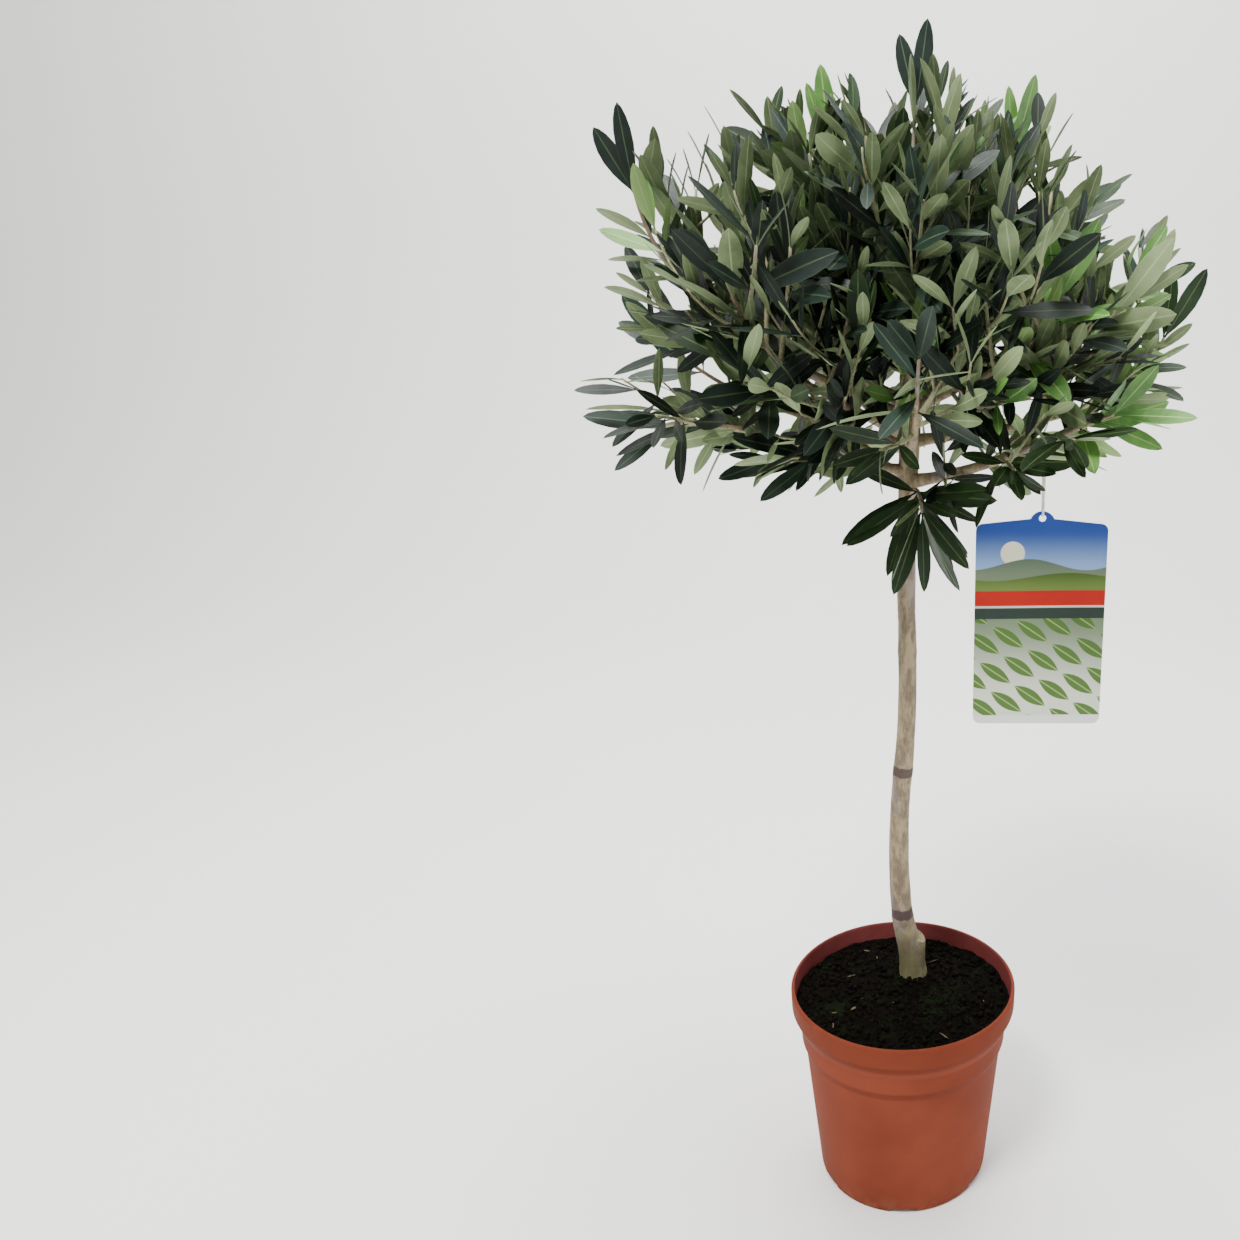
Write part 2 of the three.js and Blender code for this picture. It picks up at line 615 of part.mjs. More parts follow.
function makeLabel() {
  const { width, height, thickness, corner, tab, hole } = LABEL;
  const [half, shoulder] = [width / 2, -tab];
  const outline = new THREE.Shape();
  outline.absarc(half - corner, shoulder - corner, corner, 0, Math.PI / 2, false);
  outline.absarc(0, shoulder, tab, Math.PI / 8, (7 * Math.PI) / 8, false);
  outline.absarc(corner - half, shoulder - corner, corner, Math.PI / 2, Math.PI, false);
  outline.absarc(corner - half, shoulder - height + corner, corner, Math.PI, 1.5 * Math.PI, false);
  outline.absarc(half - corner, shoulder - height + corner, corner, 1.5 * Math.PI, 2 * Math.PI, false);
  outline.holes.push(new THREE.Path().absarc(0, -hole - EYE_INSET, hole, 0, 2 * Math.PI, true));
  const extrusion = { depth: thickness, bevelEnabled: false, curveSegments: 4 };
  const geometry = new THREE.ExtrudeGeometry(outline, extrusion);
  geometry.translate(0, 0, -thickness / 2).rotateX(Math.PI / 2);
  geometry.translate(labelTop.x, labelTop.y, labelTop.z);
  return solidOf(geometry);
}

// A thin strap in the upright plane across the card: over the limb above and through the card's eye. Its
// outline is drawn with x for the plant's Y and y for its Z.
function makeLoop() {
  const { width, thickness, wide, narrow, seat } = LOOP;
  const high = hangPoint.z + seat + thickness / 2 - wide;
  const low = labelTop.z - EYE_INSET - 2.5 * CLEAR - thickness / 2 + narrow;
  const stadium = (path, grow) => {
    path.absarc(0, high, wide + grow, 0, Math.PI, false);
    path.absarc(0, low, narrow + grow, Math.PI, 2 * Math.PI, false);
    return path;
  };
  const outline = stadium(new THREE.Shape(), thickness / 2);
  outline.holes.push(stadium(new THREE.Path(), -thickness / 2));
  const extrusion = { depth: width, bevelEnabled: false, curveSegments: 6 };
  const geometry = new THREE.ExtrudeGeometry(outline, extrusion);
  const [x, y, z] = [new THREE.Vector3(1, 0, 0), new THREE.Vector3(0, 1, 0), UP];
  geometry.applyMatrix4(new THREE.Matrix4().makeBasis(y, z, x));
  geometry.translate(hangPoint.x - width / 2, hangPoint.y, 0);
  return solidOf(geometry);
}

// The whole plant

const FINISH = {
  terracotta: { color: 0xb4603c, roughness: 0.55 },
  soil: { color: 0x1d1712, roughness: 1 },
  bark: { color: 0xa3967e, roughness: 0.85 },
  leaf: { color: 0x4c6446, roughness: 0.5 },
  card: { color: 0xd8dde0, roughness: 0.35 },
};

const plant = new THREE.Group();
function addPiece(name, solid, finish) {
  const material = new THREE.MeshStandardMaterial({ ...FINISH[finish], metalness: 0 });
  const mesh = new THREE.Mesh(geometryOf(solid), material);
  mesh.name = name;
  plant.add(mesh);
}

addPiece("pot", makePot(), "terracotta");
addPiece("soil", makeSoil(), "soil");
addPiece("trunk", makeTrunk(), "bark");
for (const [item, solid] of makeBoughs()) addPiece(`bough_${item.name}`, solid, "bark");
limbs.forEach((item, index) => addPiece(`foliage_${item.name}`, makeMass(item, index), "leaf"));
addPiece("label_card", makeLabel(), "card");
addPiece("label_loop", makeLoop(), "card");

export default plant;
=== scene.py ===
"""A potted olive tree with bark, leaves, soil and a moulded pot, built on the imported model.

Lengths are in millimetres until a mesh is made, and +Z is up. The plant is seen from its -Y side.
"""

import math
import random

import bmesh
import bpy
import numpy as np
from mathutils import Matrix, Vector, noise


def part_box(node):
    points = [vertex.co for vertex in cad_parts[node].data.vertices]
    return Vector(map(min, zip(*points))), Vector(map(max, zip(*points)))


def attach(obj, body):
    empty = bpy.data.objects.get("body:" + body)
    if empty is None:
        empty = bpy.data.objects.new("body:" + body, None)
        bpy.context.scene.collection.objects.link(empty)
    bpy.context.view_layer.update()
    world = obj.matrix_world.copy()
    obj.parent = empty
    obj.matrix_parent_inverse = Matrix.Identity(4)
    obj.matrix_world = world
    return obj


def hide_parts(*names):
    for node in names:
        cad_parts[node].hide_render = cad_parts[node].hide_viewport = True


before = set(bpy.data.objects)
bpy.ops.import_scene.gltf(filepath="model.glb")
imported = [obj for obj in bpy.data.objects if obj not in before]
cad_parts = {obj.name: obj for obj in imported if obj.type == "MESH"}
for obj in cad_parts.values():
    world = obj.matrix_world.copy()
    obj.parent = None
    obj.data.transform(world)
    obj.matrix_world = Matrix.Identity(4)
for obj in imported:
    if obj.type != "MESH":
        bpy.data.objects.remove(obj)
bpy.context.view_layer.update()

METRES = 0.001
UP = np.array([0.0, 0.0, 1.0])

# The camera: where it stands, how far it looks down, and its focal length and principal point in pixels.
IMAGE_SIDE = 1240
CAMERA_BACK = 855.6
CAMERA_HEIGHT = 748.7
CAMERA_DOWN = math.radians(16.17)
FOCAL = 1152.1
PRINCIPAL = (903, 613)
SENSOR = 36

# The pot's outline from its foot over the rim to its floor inside: (radius, height, roundness of the corner).
POT_OUTLINE = [
    (0, 0, 0),
    (71, 0, 1.5),
    (72.2, 4, 1.5),
    (82.7, 112, 0),
    (83.4, 120.5, 0.8),
    (86.7, 128, 1.6),
    (87.6, 143, 0.8),
    (90.3, 149.5, 1.2),
    (94.6, 157.5, 2),
    (95, 173.4, 1.1),
    (93.6, 175, 0.8),
    (92.3, 175, 0.6),
    (91.8, 173.6, 0.6),
    (91.2, 159, 1.5),
    (84.6, 133, 2),
    (80.4, 115, 2),
    (69.8, 7, 2),
    (0, 7, 0),
]
POT_SIDES = 192
DRAIN_SLOTS = 6
DRAIN_SLOT = {"radius": 71, "width": 21, "depth": 14, "height": 4.5}
# The middle of the wall near its top, in metres: it slants out with height as far as the rim's radius.
WALL_MIDDLE = {"slant": 0.26, "start": 0.05116, "rim": 0.0926}
# The heights of the two ledges, in metres, where shade is painted on the wall under each step.
LEDGES = (0.1245, 0.1535)

SOIL_RADIUS = 90.2
SOIL_EDGE = 161
SOIL_TOP = 167
MOUND_RADIUS = 52
# Crumbs of soil: how many, their clearance from the soil's edge, their least size and what luck adds.
CLODS = {"count": 2600, "clear": 3, "least": 0.5, "more": 2.6}
CHIPS = {"count": 16, "clear": 7, "least": 0.35, "more": 0.5}
PALE_CHIP = (-41, -28)
# How far the corners of a crumb stray, as a share of its size.
DENT = 0.42

# The trunk's centreline, from under the soil to the fork, and its radius at chosen heights.
TRUNK_LINE = [
    (9, 26, 152),
    (8.5, 26, 170),
    (6, 25, 190),
    (-0.5, 22, 226),
    (-3.4, 16, 280),
    (-2.4, 10, 334),
    (2, 4, 394),
    (3.6, 1, 450),
    (2.4, 0, 530),
    (4, 0, 610),
    (6, 0, 660),
    (6, 0, 696),
]
TRUNK_RADIUS = [
    (152, 13),
    (170, 11.4),
    (190, 10.2),
    (226, 9),
    (334, 7.8),
    (480, 7),
    (590, 7.2),
    (650, 8),
    (680, 8.6),
    (696, 7.6),
]
# The heights of the swollen joints and the dark bands, and the flare above the soil.
TRUNK_JOINTS = (224, 366, 470, 556)
TRUNK_BANDS = (366, 229)
FLARE = {"height": 163, "spread": 9, "size": 0.05, "ridges": 3, "depth": 0.6}
STUB = {"foot": (9.5, 24, 152), "head": (12.6, 25, 216), "radius": (9.4, 6.8)}
STUB_CUT = {"facing": (0.5, -0.15, 0.85), "through": (19.5, 25, 199)}

# The crown: an upright dome with a flattened underside, which the leaves fill to its skin.
CROWN_AXIS = np.array([-2.0, 0.0])
CROWN_RADIUS = 230
CROWN_WAIST = 692
CROWN_TOP = 905
CROWN_UNDERSIDE = 588
UNDERSIDE_SLOPE = 0.06
CROWN_SQUARENESS = {"above": 2.5, "below": 1.7}
# Gaps that let the sky through from the front: (across, height, radius) in the plane of the trunk.
SKY_GAPS = [
    (-87, 648, 8),
    (-142, 682, 9),
    (-136, 781, 7),
    (-162, 737, 6),
    (-65, 677, 3),
    (86, 802, 6),
    (152, 749, 6),
    (-19, 862, 9),
    (-66, 853, 3),
    (118, 812, 6),
    (-96, 812, 5),
    (-8, 677, 5),
    (-61, 682, 3),
    (35, 664, 4),
    (87, 656, 5),
    (70, 700, 3),
    (-101, 684, 4),
    (117, 647, 4),
]
# How far each gap's shaft runs either way, as a share of the crown's radius.
SHAFT_REACH = 1.2

# Each limb: name, bearing, height on the trunk, slope where it leaves and where it ends, reach and height
# of its outermost leaf tips, and its lift, which is how much its shoots are drawn upwards.
# A limb whose lift is within LEVEL_LIFT of 0 spreads flat, and one whose lift is lower still nods.
LIMBS = [
    ("top", 40, 700, 86, 84, 20, 922, 0.8),
    ("right_high", 8, 672, 40, 80, 90, 888, 0.8),
    ("back_high", 98, 664, 42, 78, 92, 866, 0.8),
    ("left_high", 184, 680, 48, 80, 58, 890, 0.8),
    ("front_high", 268, 668, 44, 76, 96, 852, 0.8),
    ("left_crest", 190, 650, 24, 78, 194, 862, 0.8),
    ("back_left", 138, 654, 26, 68, 182, 826, 0.7),
    ("back_right", 42, 658, 28, 68, 166, 822, 0.7),
    ("front_left", 230, 636, 24, 64, 190, 800, 0.7),
    ("front", 274, 622, 18, 56, 196, 752, 0.6),
    ("front_right", 312, 656, 26, 66, 172, 790, 0.7),
    ("right", 2, 634, 8, 64, 218, 760, 0.3),
    ("back", 88, 642, 18, 52, 204, 752, 0.6),
    ("left", 166, 630, 14, 40, 224, 736, 0.6),
    ("left_low", 197, 610, 10, -6, 228, 644, -0.05),
    ("right_low", 324, 604, 12, 22, 226, 686, -0.05),
    ("back_low", 112, 604, 8, 8, 208, 640, 0.05),
    ("front_low", 282, 586, 30, -62, 100, 542, -0.6),
]
LEVEL_LIFT = 0.1
# How long the handles of a limb's curve are at its root and its end, as shares of its span.
LIMB_STRAIGHT = (0.42, 0.34)
LEADER_LEAF = 58
BOUGH_RADIUS = (4.6, 2.7)
STEM_RADIUS = (2.6, 1.0)
LABEL_LIMB = "right_low"
LABEL_BOUGH_LENGTH = 126
LOOP_CLEARANCE = 5.4
CARD_CLEARANCE = [3, 6, 3]
# Each mass keeps to the space nearest to its site, at this share of its limb.
SITE_SHARE = 0.7
LINE_SAMPLES = 60
# The least depth inside that space. Leaves and shoots may cross its edge a little, while a bough and the
# stem beyond it both end just within it.
DEPTH = {"leaf": -18, "shoot": -14, "entry": 5, "exit": 2}
# The share of a bough that bears no shoots.
BARE_BOUGH = 0.24
# The lift of shoots grows with height over this stretch, from its least share.
LIFT_GROWS = {"from": 590, "over": 170, "least": 0.1}

# Shoots by order: how far apart they leave their parent, their length, radius at root and tip, angle from
# the parent, bare share, and the stretch of the parent that bears them.
SHOOTS = [
    {"apart": 12, "length": 96, "radius": (1.9, 1.0), "set": 0.9, "bare": 0.25, "from": 0.02, "to": 0.88},
    {"apart": 20, "length": 52, "radius": (1.15, 0.7), "set": 0.85, "bare": 0.2, "from": 0.25, "to": 0.8},
]
SHOOT_GAP = (6.4, 4.6)
LIMB_CLEARANCE = 1.5
# How far inside the crown's skin the tip of a shoot stays, on a flat limb and on the others.
SKIN_MARGIN = {"flat": 0.02, "other": 0.14}
GOLDEN_ANGLE = math.radians(137.5)
# What a shoot tries in turn: how far round its parent it is moved, and its share of the full length.
SHOOT_TRIES = [(0, 1.15), (0, 0.9), (0.9, 1.1), (-0.9, 1.1), (0, 0.7), (1.7, 0.9), (-1.7, 0.9), (0, 0.55)]
LEAF_LENGTH = 49
LEAF_HALF_WIDTH = 0.129
LEAF_GAP = 2.1
PAIR_SPACING = 14.5
# Below this height leaves sag, fully so this much further down, and less on a flat limb.
SAG = {"height": 690, "over": 60, "flat": 0.4}
# How hard a sagging leaf is pulled down: the few with the most luck hang far more than the others.
HANGING = {"sag": 0.3, "luck": 0.93, "pull": 1.8, "usual_pull": 0.8}
# What a leaf tries in turn: its share of the pair's opening and of its length, and how far it turns.
LEAF_TRIES = [(1, 1, 0), (0.6, 1, 0), (0.9, 0.85, 0.7), (0.9, 0.85, -0.7), (0.45, 0.8, 0), (1.3, 0.75, 0)]
# The pairs open by these degrees at the foot of a shoot and at its tip.
PAIR_OPEN = (62, 26)
# How far up its shoot the last pair stands, the size of its leaves, and the roll of a flat limb's pairs.
LAST_SHARE = 0.985
TIP_LEAF = 0.72
FLAT_ROLL = 0.3
# The tuft of a limb that nods: long leaves close together round its end.
KNOT = {"depth": 26, "spacing": 2.5, "size": 1.24, "width": 0.8, "open": 76, "fan": 1.0, "gap": 0.3}
# The pair at the end of a limb: how far each of the two opens, on a flat limb and on the others, their
# share of the leader's length, and how far they lean out along the view.
LAST_PAIR = {"open": (5, 24), "flat": (22, 24), "size": (1, 0.84), "lean": 2.0}
# The side that the viewer and the light are on.
LIGHT_SIDE = np.array([0.0, -1.0, 0.0])
# Where sprays turn lighter with painted light, each as (start, length of the change): up the leaders, towards
# the lit right side, above the shaded underside, up into the sun, and towards the crown's lit skin.
LIGHTER = {"leaders": (740, 80), "right": (30, 45), "low": (640, 60)}
LIGHTER |= {"sunny": (640, 120), "rim": (0.55, 0.35)}
# The knot takes the paler plain and slate tones: painted light on a tuft that hangs in the crown's shade.
KNOT_WEIGHTS = (0, 15, 85, 0)

# Each leaf finish: name, its two tones, rib, roughness and shine. The first four are the sprays' upper sides.
# The deep tone is painted shade, and the young tone is young growth brightened with painted light.
LEAF_TONES = [
    ("leaf_deep_shade", "090f0c", "12201a", "465736", 0.46, 0.26),
    ("leaf_green", "12220f", "20361b", "586e3b", 0.46, 0.26),
    ("leaf_slate", "12201a", "213329", "586b50", 0.46, 0.3),
    ("leaf_young_sunlit", "3c6a2a", "6a994a", "a9c57f", 0.38, 0.42),
    ("leaf_under", "5b6c48", "8a9b71", "aebb90", 0.62, 0.25),
    ("leaf_under_young_sunlit", "6f8f52", "93b26f", "b4cb8f", 0.6, 0.25),
]
UPPER_TONES, YOUNG_SUNLIT, UNDER, UNDER_YOUNG_SUNLIT = 4, 3, 4, 5

# The stations of a leaf along its length, as (share of the length, share of the half width).
BLADE = [(0, 0.1), (0.08, 0.12), (0.2, 0.46), (0.36, 0.81), (0.54, 1), (0.7, 0.95), (0.84, 0.72), (0.94, 0.4)]
LEAF_THICKNESS = 0.4

# The studio: a floor that bends up into a backdrop, and lights as (name, watts, size, spot, target, colour).
SWEEP = {"reach": 6000, "bends_at": 1500, "radius": 900, "steps": 12}
LIGHTS = [
    ("key", 90, 0.7, (-0.7, -1.1, 2.6), (0, 0, 0.5), (1, 0.99, 0.96)),
    ("fill", 24, 1.6, (2.1, -0.9, 1.3), (0, 0, 0.5), (0.96, 0.98, 1)),
    ("front", 4, 1.2, (-1.3, -2.0, 0.8), (0, 0, 0.6), (1, 0.99, 0.96)),
    ("sweep", 150, 2.2, (0.0, 0.6, 2.9), (0, 1.4, 0.3), (1, 1, 1)),
]
ROOM_LIGHT = 0.24


# Curves


class Curve:
    """A curve through many points, read by the share of its length."""

    def __init__(self, points):
        self.points = np.asarray(points, float)
        steps = np.linalg.norm(np.diff(self.points, axis=0), axis=1)
        self.marks = np.concatenate([[0], np.cumsum(steps)])
        self.length = self.marks[-1]

    def at(self, share):
        place = np.clip(share, 0, 1) * self.length
        return np.array([np.interp(place, self.marks, self.points[:, k]) for k in range(3)])

    def tangent(self, share):
        ahead, behind = self.at(min(share + 0.02, 1)), self.at(max(share - 0.02, 0))
        return unit(ahead - behind)

    def spaced(self, count, start=0.0, end=1.0):
        return np.array([self.at(share) for share in np.linspace(start, end, count)])

    def stretch(self, start, end):
        return Curve(self.spaced(60, start, end))


def unit(vector):
    return vector / np.linalg.norm(vector)


def bezier(*corners):
    shares = np.linspace(0, 1, 160)[:, None]
    order = len(corners) - 1
    terms = [
        math.comb(order, k) * shares**k * (1 - shares) ** (order - k) * np.asarray(corner, float)
        for k, corner in enumerate(corners)
    ]
    return Curve(sum(terms))


def smooth_line(corners):
    """A curve through the corners that passes each one without a kink."""
    corners = np.asarray(corners, float)
    ends = [2 * corners[0] - corners[1], *corners, 2 * corners[-1] - corners[-2]]
    points = []
    for before, start, end, after in zip(ends, ends[1:], ends[2:], ends[3:]):
        strides = (start - before, end - start, after - end)
        knots = np.cumsum([0.0, *(math.sqrt(np.linalg.norm(stride)) for stride in strides)])
        for t in np.linspace(knots[1], knots[2], 12, endpoint=False):
            first = blend(before, start, knots[0], knots[1], t)
            second = blend(start, end, knots[1], knots[2], t)
            third = blend(end, after, knots[2], knots[3], t)
            early = blend(first, second, knots[0], knots[2], t)
            late = blend(second, third, knots[1], knots[3], t)
            points.append(blend(early, late, knots[1], knots[2], t))
    points.append(corners[-1])
    return Curve(points)


def blend(a, b, start, end, place):
    share = (place - start) / (end - start)
    return (1 - share) * a + share * b


def direction(bearing, slope):
    b, s = math.radians(bearing), math.radians(slope)
    return np.array([math.cos(b) * math.cos(s), math.sin(b) * math.cos(s), math.sin(s)])


def ramp(value, start, length):
    """0 up to the start and 1 from a length beyond it."""
    return min(1, max(0, (value - start) / length))


def polar(radius, angle):
    return radius * math.cos(angle), radius * math.sin(angle)


def tapered(radii, share):
    return radii[0] + share * (radii[1] - radii[0])


def level_across(axis):
    """The level direction across an axis, also where the axis is upright."""
    return unit(np.cross(axis, UP + [1e-4, 0, 0]))


def turned(vector, axis, angle):
    """The vector turned round the axis by the angle in radians."""
    along = axis * (vector @ axis) * (1 - math.cos(angle))
    return vector * math.cos(angle) + np.cross(axis, vector) * math.sin(angle) + along


# Meshes


def mesh_object(name, points, faces, finishes, face_finish=None, corner_uv=None):
    """A shaded mesh from points in millimetres, with a material slot for each finish."""
    mesh = bpy.data.meshes.new(name)
    mesh.from_pydata((np.asarray(points) * METRES).tolist(), [], faces)
    for finish in finishes:
        mesh.materials.append(finish)
    if face_finish is not None:
        mesh.polygons.foreach_set("material_index", np.asarray(face_finish, np.int32))
    if corner_uv is not None:
        layer = mesh.uv_layers.new(name="blade")
        layer.data.foreach_set("uv", np.asarray(corner_uv, np.float32).ravel())
    mesh.polygons.foreach_set("use_smooth", np.ones(len(mesh.polygons), bool))
    mesh.update()
    made = bpy.data.objects.new(name, mesh)
    bpy.context.collection.objects.link(made)
    return made


class Shape:
    """Points and faces gathered from many small forms, each face with the number of its finish."""

    def __init__(self):
        self.points = []
        self.faces = []
        self.finish = []
        self.count = 0

    def add(self, points, faces, finish=0):
        self.points.append(np.asarray(points, float))
        self.faces.extend([[index + self.count for index in face] for face in faces])
        self.finish.extend([finish] * len(faces))
        self.count += len(points)

    def build(self, name, finishes):
        return mesh_object(name, np.concatenate(self.points), self.faces, finishes, self.finish)


def rows_of_faces(rows, sides, first=0):
    """Four-cornered faces between closed rows of points, which are numbered from the first."""
    faces = []
    for row in range(rows - 1):
        for k in range(sides):
            a, b = first + row * sides + k, first + row * sides + (k + 1) % sides
            faces.append([a, b, b + sides, a + sides])
    return faces


def tube(curve, radius_at, sides, steps, start=0.0, end=1.0):
    """Rings along a curve with closed ends. radius_at takes (share, angle, height)."""
    shares = np.linspace(start, end, steps + 1)
    axis = curve.tangent(start)
    across = unit(np.cross(axis, UP if abs(axis[2]) < 0.9 else np.array([1.0, 0.0, 0.0])))
    points = []
    for share in shares:
        axis = curve.tangent(share)
        across = unit(across - axis * (across @ axis))
        other = np.cross(axis, across)
        centre = curve.at(share)
        for k in range(sides):
            angle = 2 * math.pi * k / sides
            out = math.cos(angle) * across + math.sin(angle) * other
            points.append(centre + radius_at(share, angle, centre[2]) * out)
    ends = [list(range(sides))[::-1], [steps * sides + k for k in range(sides)]]
    return points, rows_of_faces(steps + 1, sides) + ends


def install(piece, *nodes, slot):
    """Hands a piece to the frame: it rides on the root and stands in for the nodes named."""
    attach(piece, "root")
    if nodes:
        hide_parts(*nodes)


# Materials


def linear(code):
    """A colour given as six hexadecimal digits, as Blender's linear values."""
    values = [int(code[k : k + 2], 16) / 255 for k in (0, 2, 4)]
    return [v / 12.92 if v <= 0.04045 else ((v + 0.055) / 1.055) ** 2.4 for v in values] + [1.0]


class Finish:
    """A node material in the making. Its methods add nodes, and its colour builds up in coats."""

    def __init__(self, name):
        self.material = bpy.data.materials.new(name)
        self.material.use_nodes = True
        self.tree = self.material.node_tree
        self.shader = self.tree.nodes["Principled BSDF"]
        self.place = self.tree.nodes.new("ShaderNodeTexCoord").outputs["Object"]

    def node(self, kind, inputs=(), **settings):
        made = self.tree.nodes.new("ShaderNode" + kind)
        for key, value in settings.items():
            setattr(made, key, value)
        for key, value in dict(inputs).items():
            self.put(made.inputs[key], value)
        return made

    def put(self, socket, value):
        if isinstance(value, bpy.types.NodeSocket):
            self.tree.links.new(value, socket)
        else:
            socket.default_value = value

    def stretched(self, x, y, z):
        return self.node("VectorMath", {0: self.place, 1: (x, y, z)}, operation="MULTIPLY").outputs[0]

    def noise(self, scale, detail=3.0, rough=0.5, at=None, twist=0.0):
        inputs = {"Vector": at or self.place, "Scale": scale, "Detail": detail}
        inputs |= {"Roughness": rough, "Distortion": twist}
        return self.node("TexNoise", inputs).outputs["Fac"]

    def cells(self, scale, at=None):
        return self.node("TexVoronoi", {"Vector": at or self.place, "Scale": scale}).outputs["Distance"]

    def math(self, operation, a, b=0.0):
        return self.node("Math", {0: a, 1: b}, operation=operation).outputs[0]

    def plus(self, a, b):
        return self.math("ADD", a, b)

    def minus(self, a, b):
        return self.math("SUBTRACT", a, b)

    def times(self, a, b):
        return self.math("MULTIPLY", a, b)

    def ledge(self, middle, half):
        """1 within a level band and 0 beyond it."""
        away = self.math("ABSOLUTE", self.minus(self.axis("Z"), middle))
        return self.span(away, half * 1.5, half * 0.6)

    def axis(self, name):
        return self.node("SeparateXYZ", {0: self.place}).outputs[name]

    def span(self, value, low, high, start=0.0, end=1.0):
        inputs = {"Value": value, "From Min": low, "From Max": high, "To Min": start, "To Max": end}
        return self.node("MapRange", inputs, interpolation_type="SMOOTHSTEP").outputs["Result"]

    def mix(self, share, a, b):
        return self.node("Mix", {0: share, 6: a, 7: b}, data_type="RGBA").outputs[2]

    def bump(self, height, strength, distance, under=None):
        inputs = {"Height": height, "Strength": strength, "Distance": distance}
        if under is not None:
            inputs["Normal"] = under
        return self.node("Bump", inputs).outputs["Normal"]

    def base(self, share, a, b):
        self.colour = self.mix(share, linear(a), linear(b))

    def coat(self, share, tone):
        """Lays a tone, a code or another node's output, over the colour so far."""
        self.colour = self.mix(share, self.colour, linear(tone) if isinstance(tone, str) else tone)

    def done(self, roughness, normal=None, **constants):
        self.put(self.shader.inputs["Base Color"], self.colour)
        self.put(self.shader.inputs["Roughness"], roughness)
        if normal is not None:
            self.put(self.shader.inputs["Normal"], normal)
        for name, value in constants.items():
            self.shader.inputs[name.replace("_", " ")].default_value = value
        return self.material


def pot_finish():
    f = Finish("pot_plastic")
    broad = f.span(f.noise(14, 3), 0.3, 0.7)
    f.base(broad, "723423", "803e2c")
    # Painted shade: the plastic darkens from under the rim's lip up over the whole rim.
    f.coat(f.span(f.axis("Z"), 0.148, 0.156, 0, 0.35), "5c2817")
    # Painted shade: a darker band at each ledge's height, on the slope under the step where the wall juts
    # out.
    ledge_shade = f.plus(*(f.ledge(middle, 0.0035) for middle in LEDGES))
    f.coat(f.times(ledge_shade, 0.4), "4e1c0f")
    scuffs = f.span(f.noise(70, 6, 0.7, f.stretched(1, 1, 0.35)), 0.6, 0.76, 0, 0.22)
    f.coat(scuffs, "9c5238")
    specks = f.span(f.cells(420), 0.0, 0.16, 0.3, 0)
    f.coat(specks, "5f2413")
    radius = f.node("VectorMath", {0: f.stretched(1, 1, 0)}, operation="LENGTH").outputs["Value"]
    side = f.plus(f.times(f.axis("Z"), WALL_MIDDLE["slant"]), WALL_MIDDLE["start"])
    wall = f.math("MINIMUM", side, WALL_MIDDLE["rim"])
    inward, above_soil = f.span(f.minus(wall, radius), 0.0, 0.0004), f.span(f.axis("Z"), 0.15, 0.154)
    inside = f.times(inward, above_soil)
    grime = f.times(inside, f.span(f.noise(90, 5, 0.65), 0.35, 0.75, 0.1, 0.6))
    # Painted shade: the inner wall above the soil takes a duller, purpler tone than the outside.
    f.coat(f.times(inside, 0.75), "7c3f42")
    f.coat(grime, "6e3230")
    low = f.times(f.span(f.axis("Z"), 0.02, 0.0), f.span(f.noise(120, 4), 0.4, 0.7))
    f.coat(f.times(low, 0.4), "8a5a42")
    grain = f.bump(f.noise(1500, 2), 0.12, 0.0004)
    rings = f.bump(f.noise(60, 2, 0.5, f.stretched(0.08, 0.08, 3)), 0.1, 0.0008, grain)
    return f.done(f.span(broad, 0, 1, 0.62, 0.74), rings, Specular_IOR_Level=0.06)


def soil_finish(name, dark, light):
    f = Finish(name)
    clumps = f.span(f.noise(160, 6, 0.7), 0.35, 0.7)
    f.base(clumps, dark, light)
    crumbs = f.span(f.cells(700), 0.1, 0.5)
    f.coat(f.times(crumbs, 0.2), "1a160f")
    moss = f.span(f.noise(34, 6, 0.7), 0.52, 0.66, 0, 0.75)
    f.coat(moss, "131b0c")
    grains = f.bump(f.noise(900, 6, 0.75), 0.7, 0.0012)
    return f.done(f.span(clumps, 0, 1, 0.7, 0.95), grains, Specular_IOR_Level=0.03)


def chip_finish():
    f = Finish("soil_chips")
    f.base(f.span(f.noise(90, 3), 0.35, 0.65), "54402c", "7d6c54")
    fibres = f.noise(900, 4, 0.6, f.stretched(1, 0.2, 1))
    f.coat(f.times(fibres, 0.5), "3a2c20")
    return f.done(0.85, f.bump(fibres, 0.5, 0.0006))


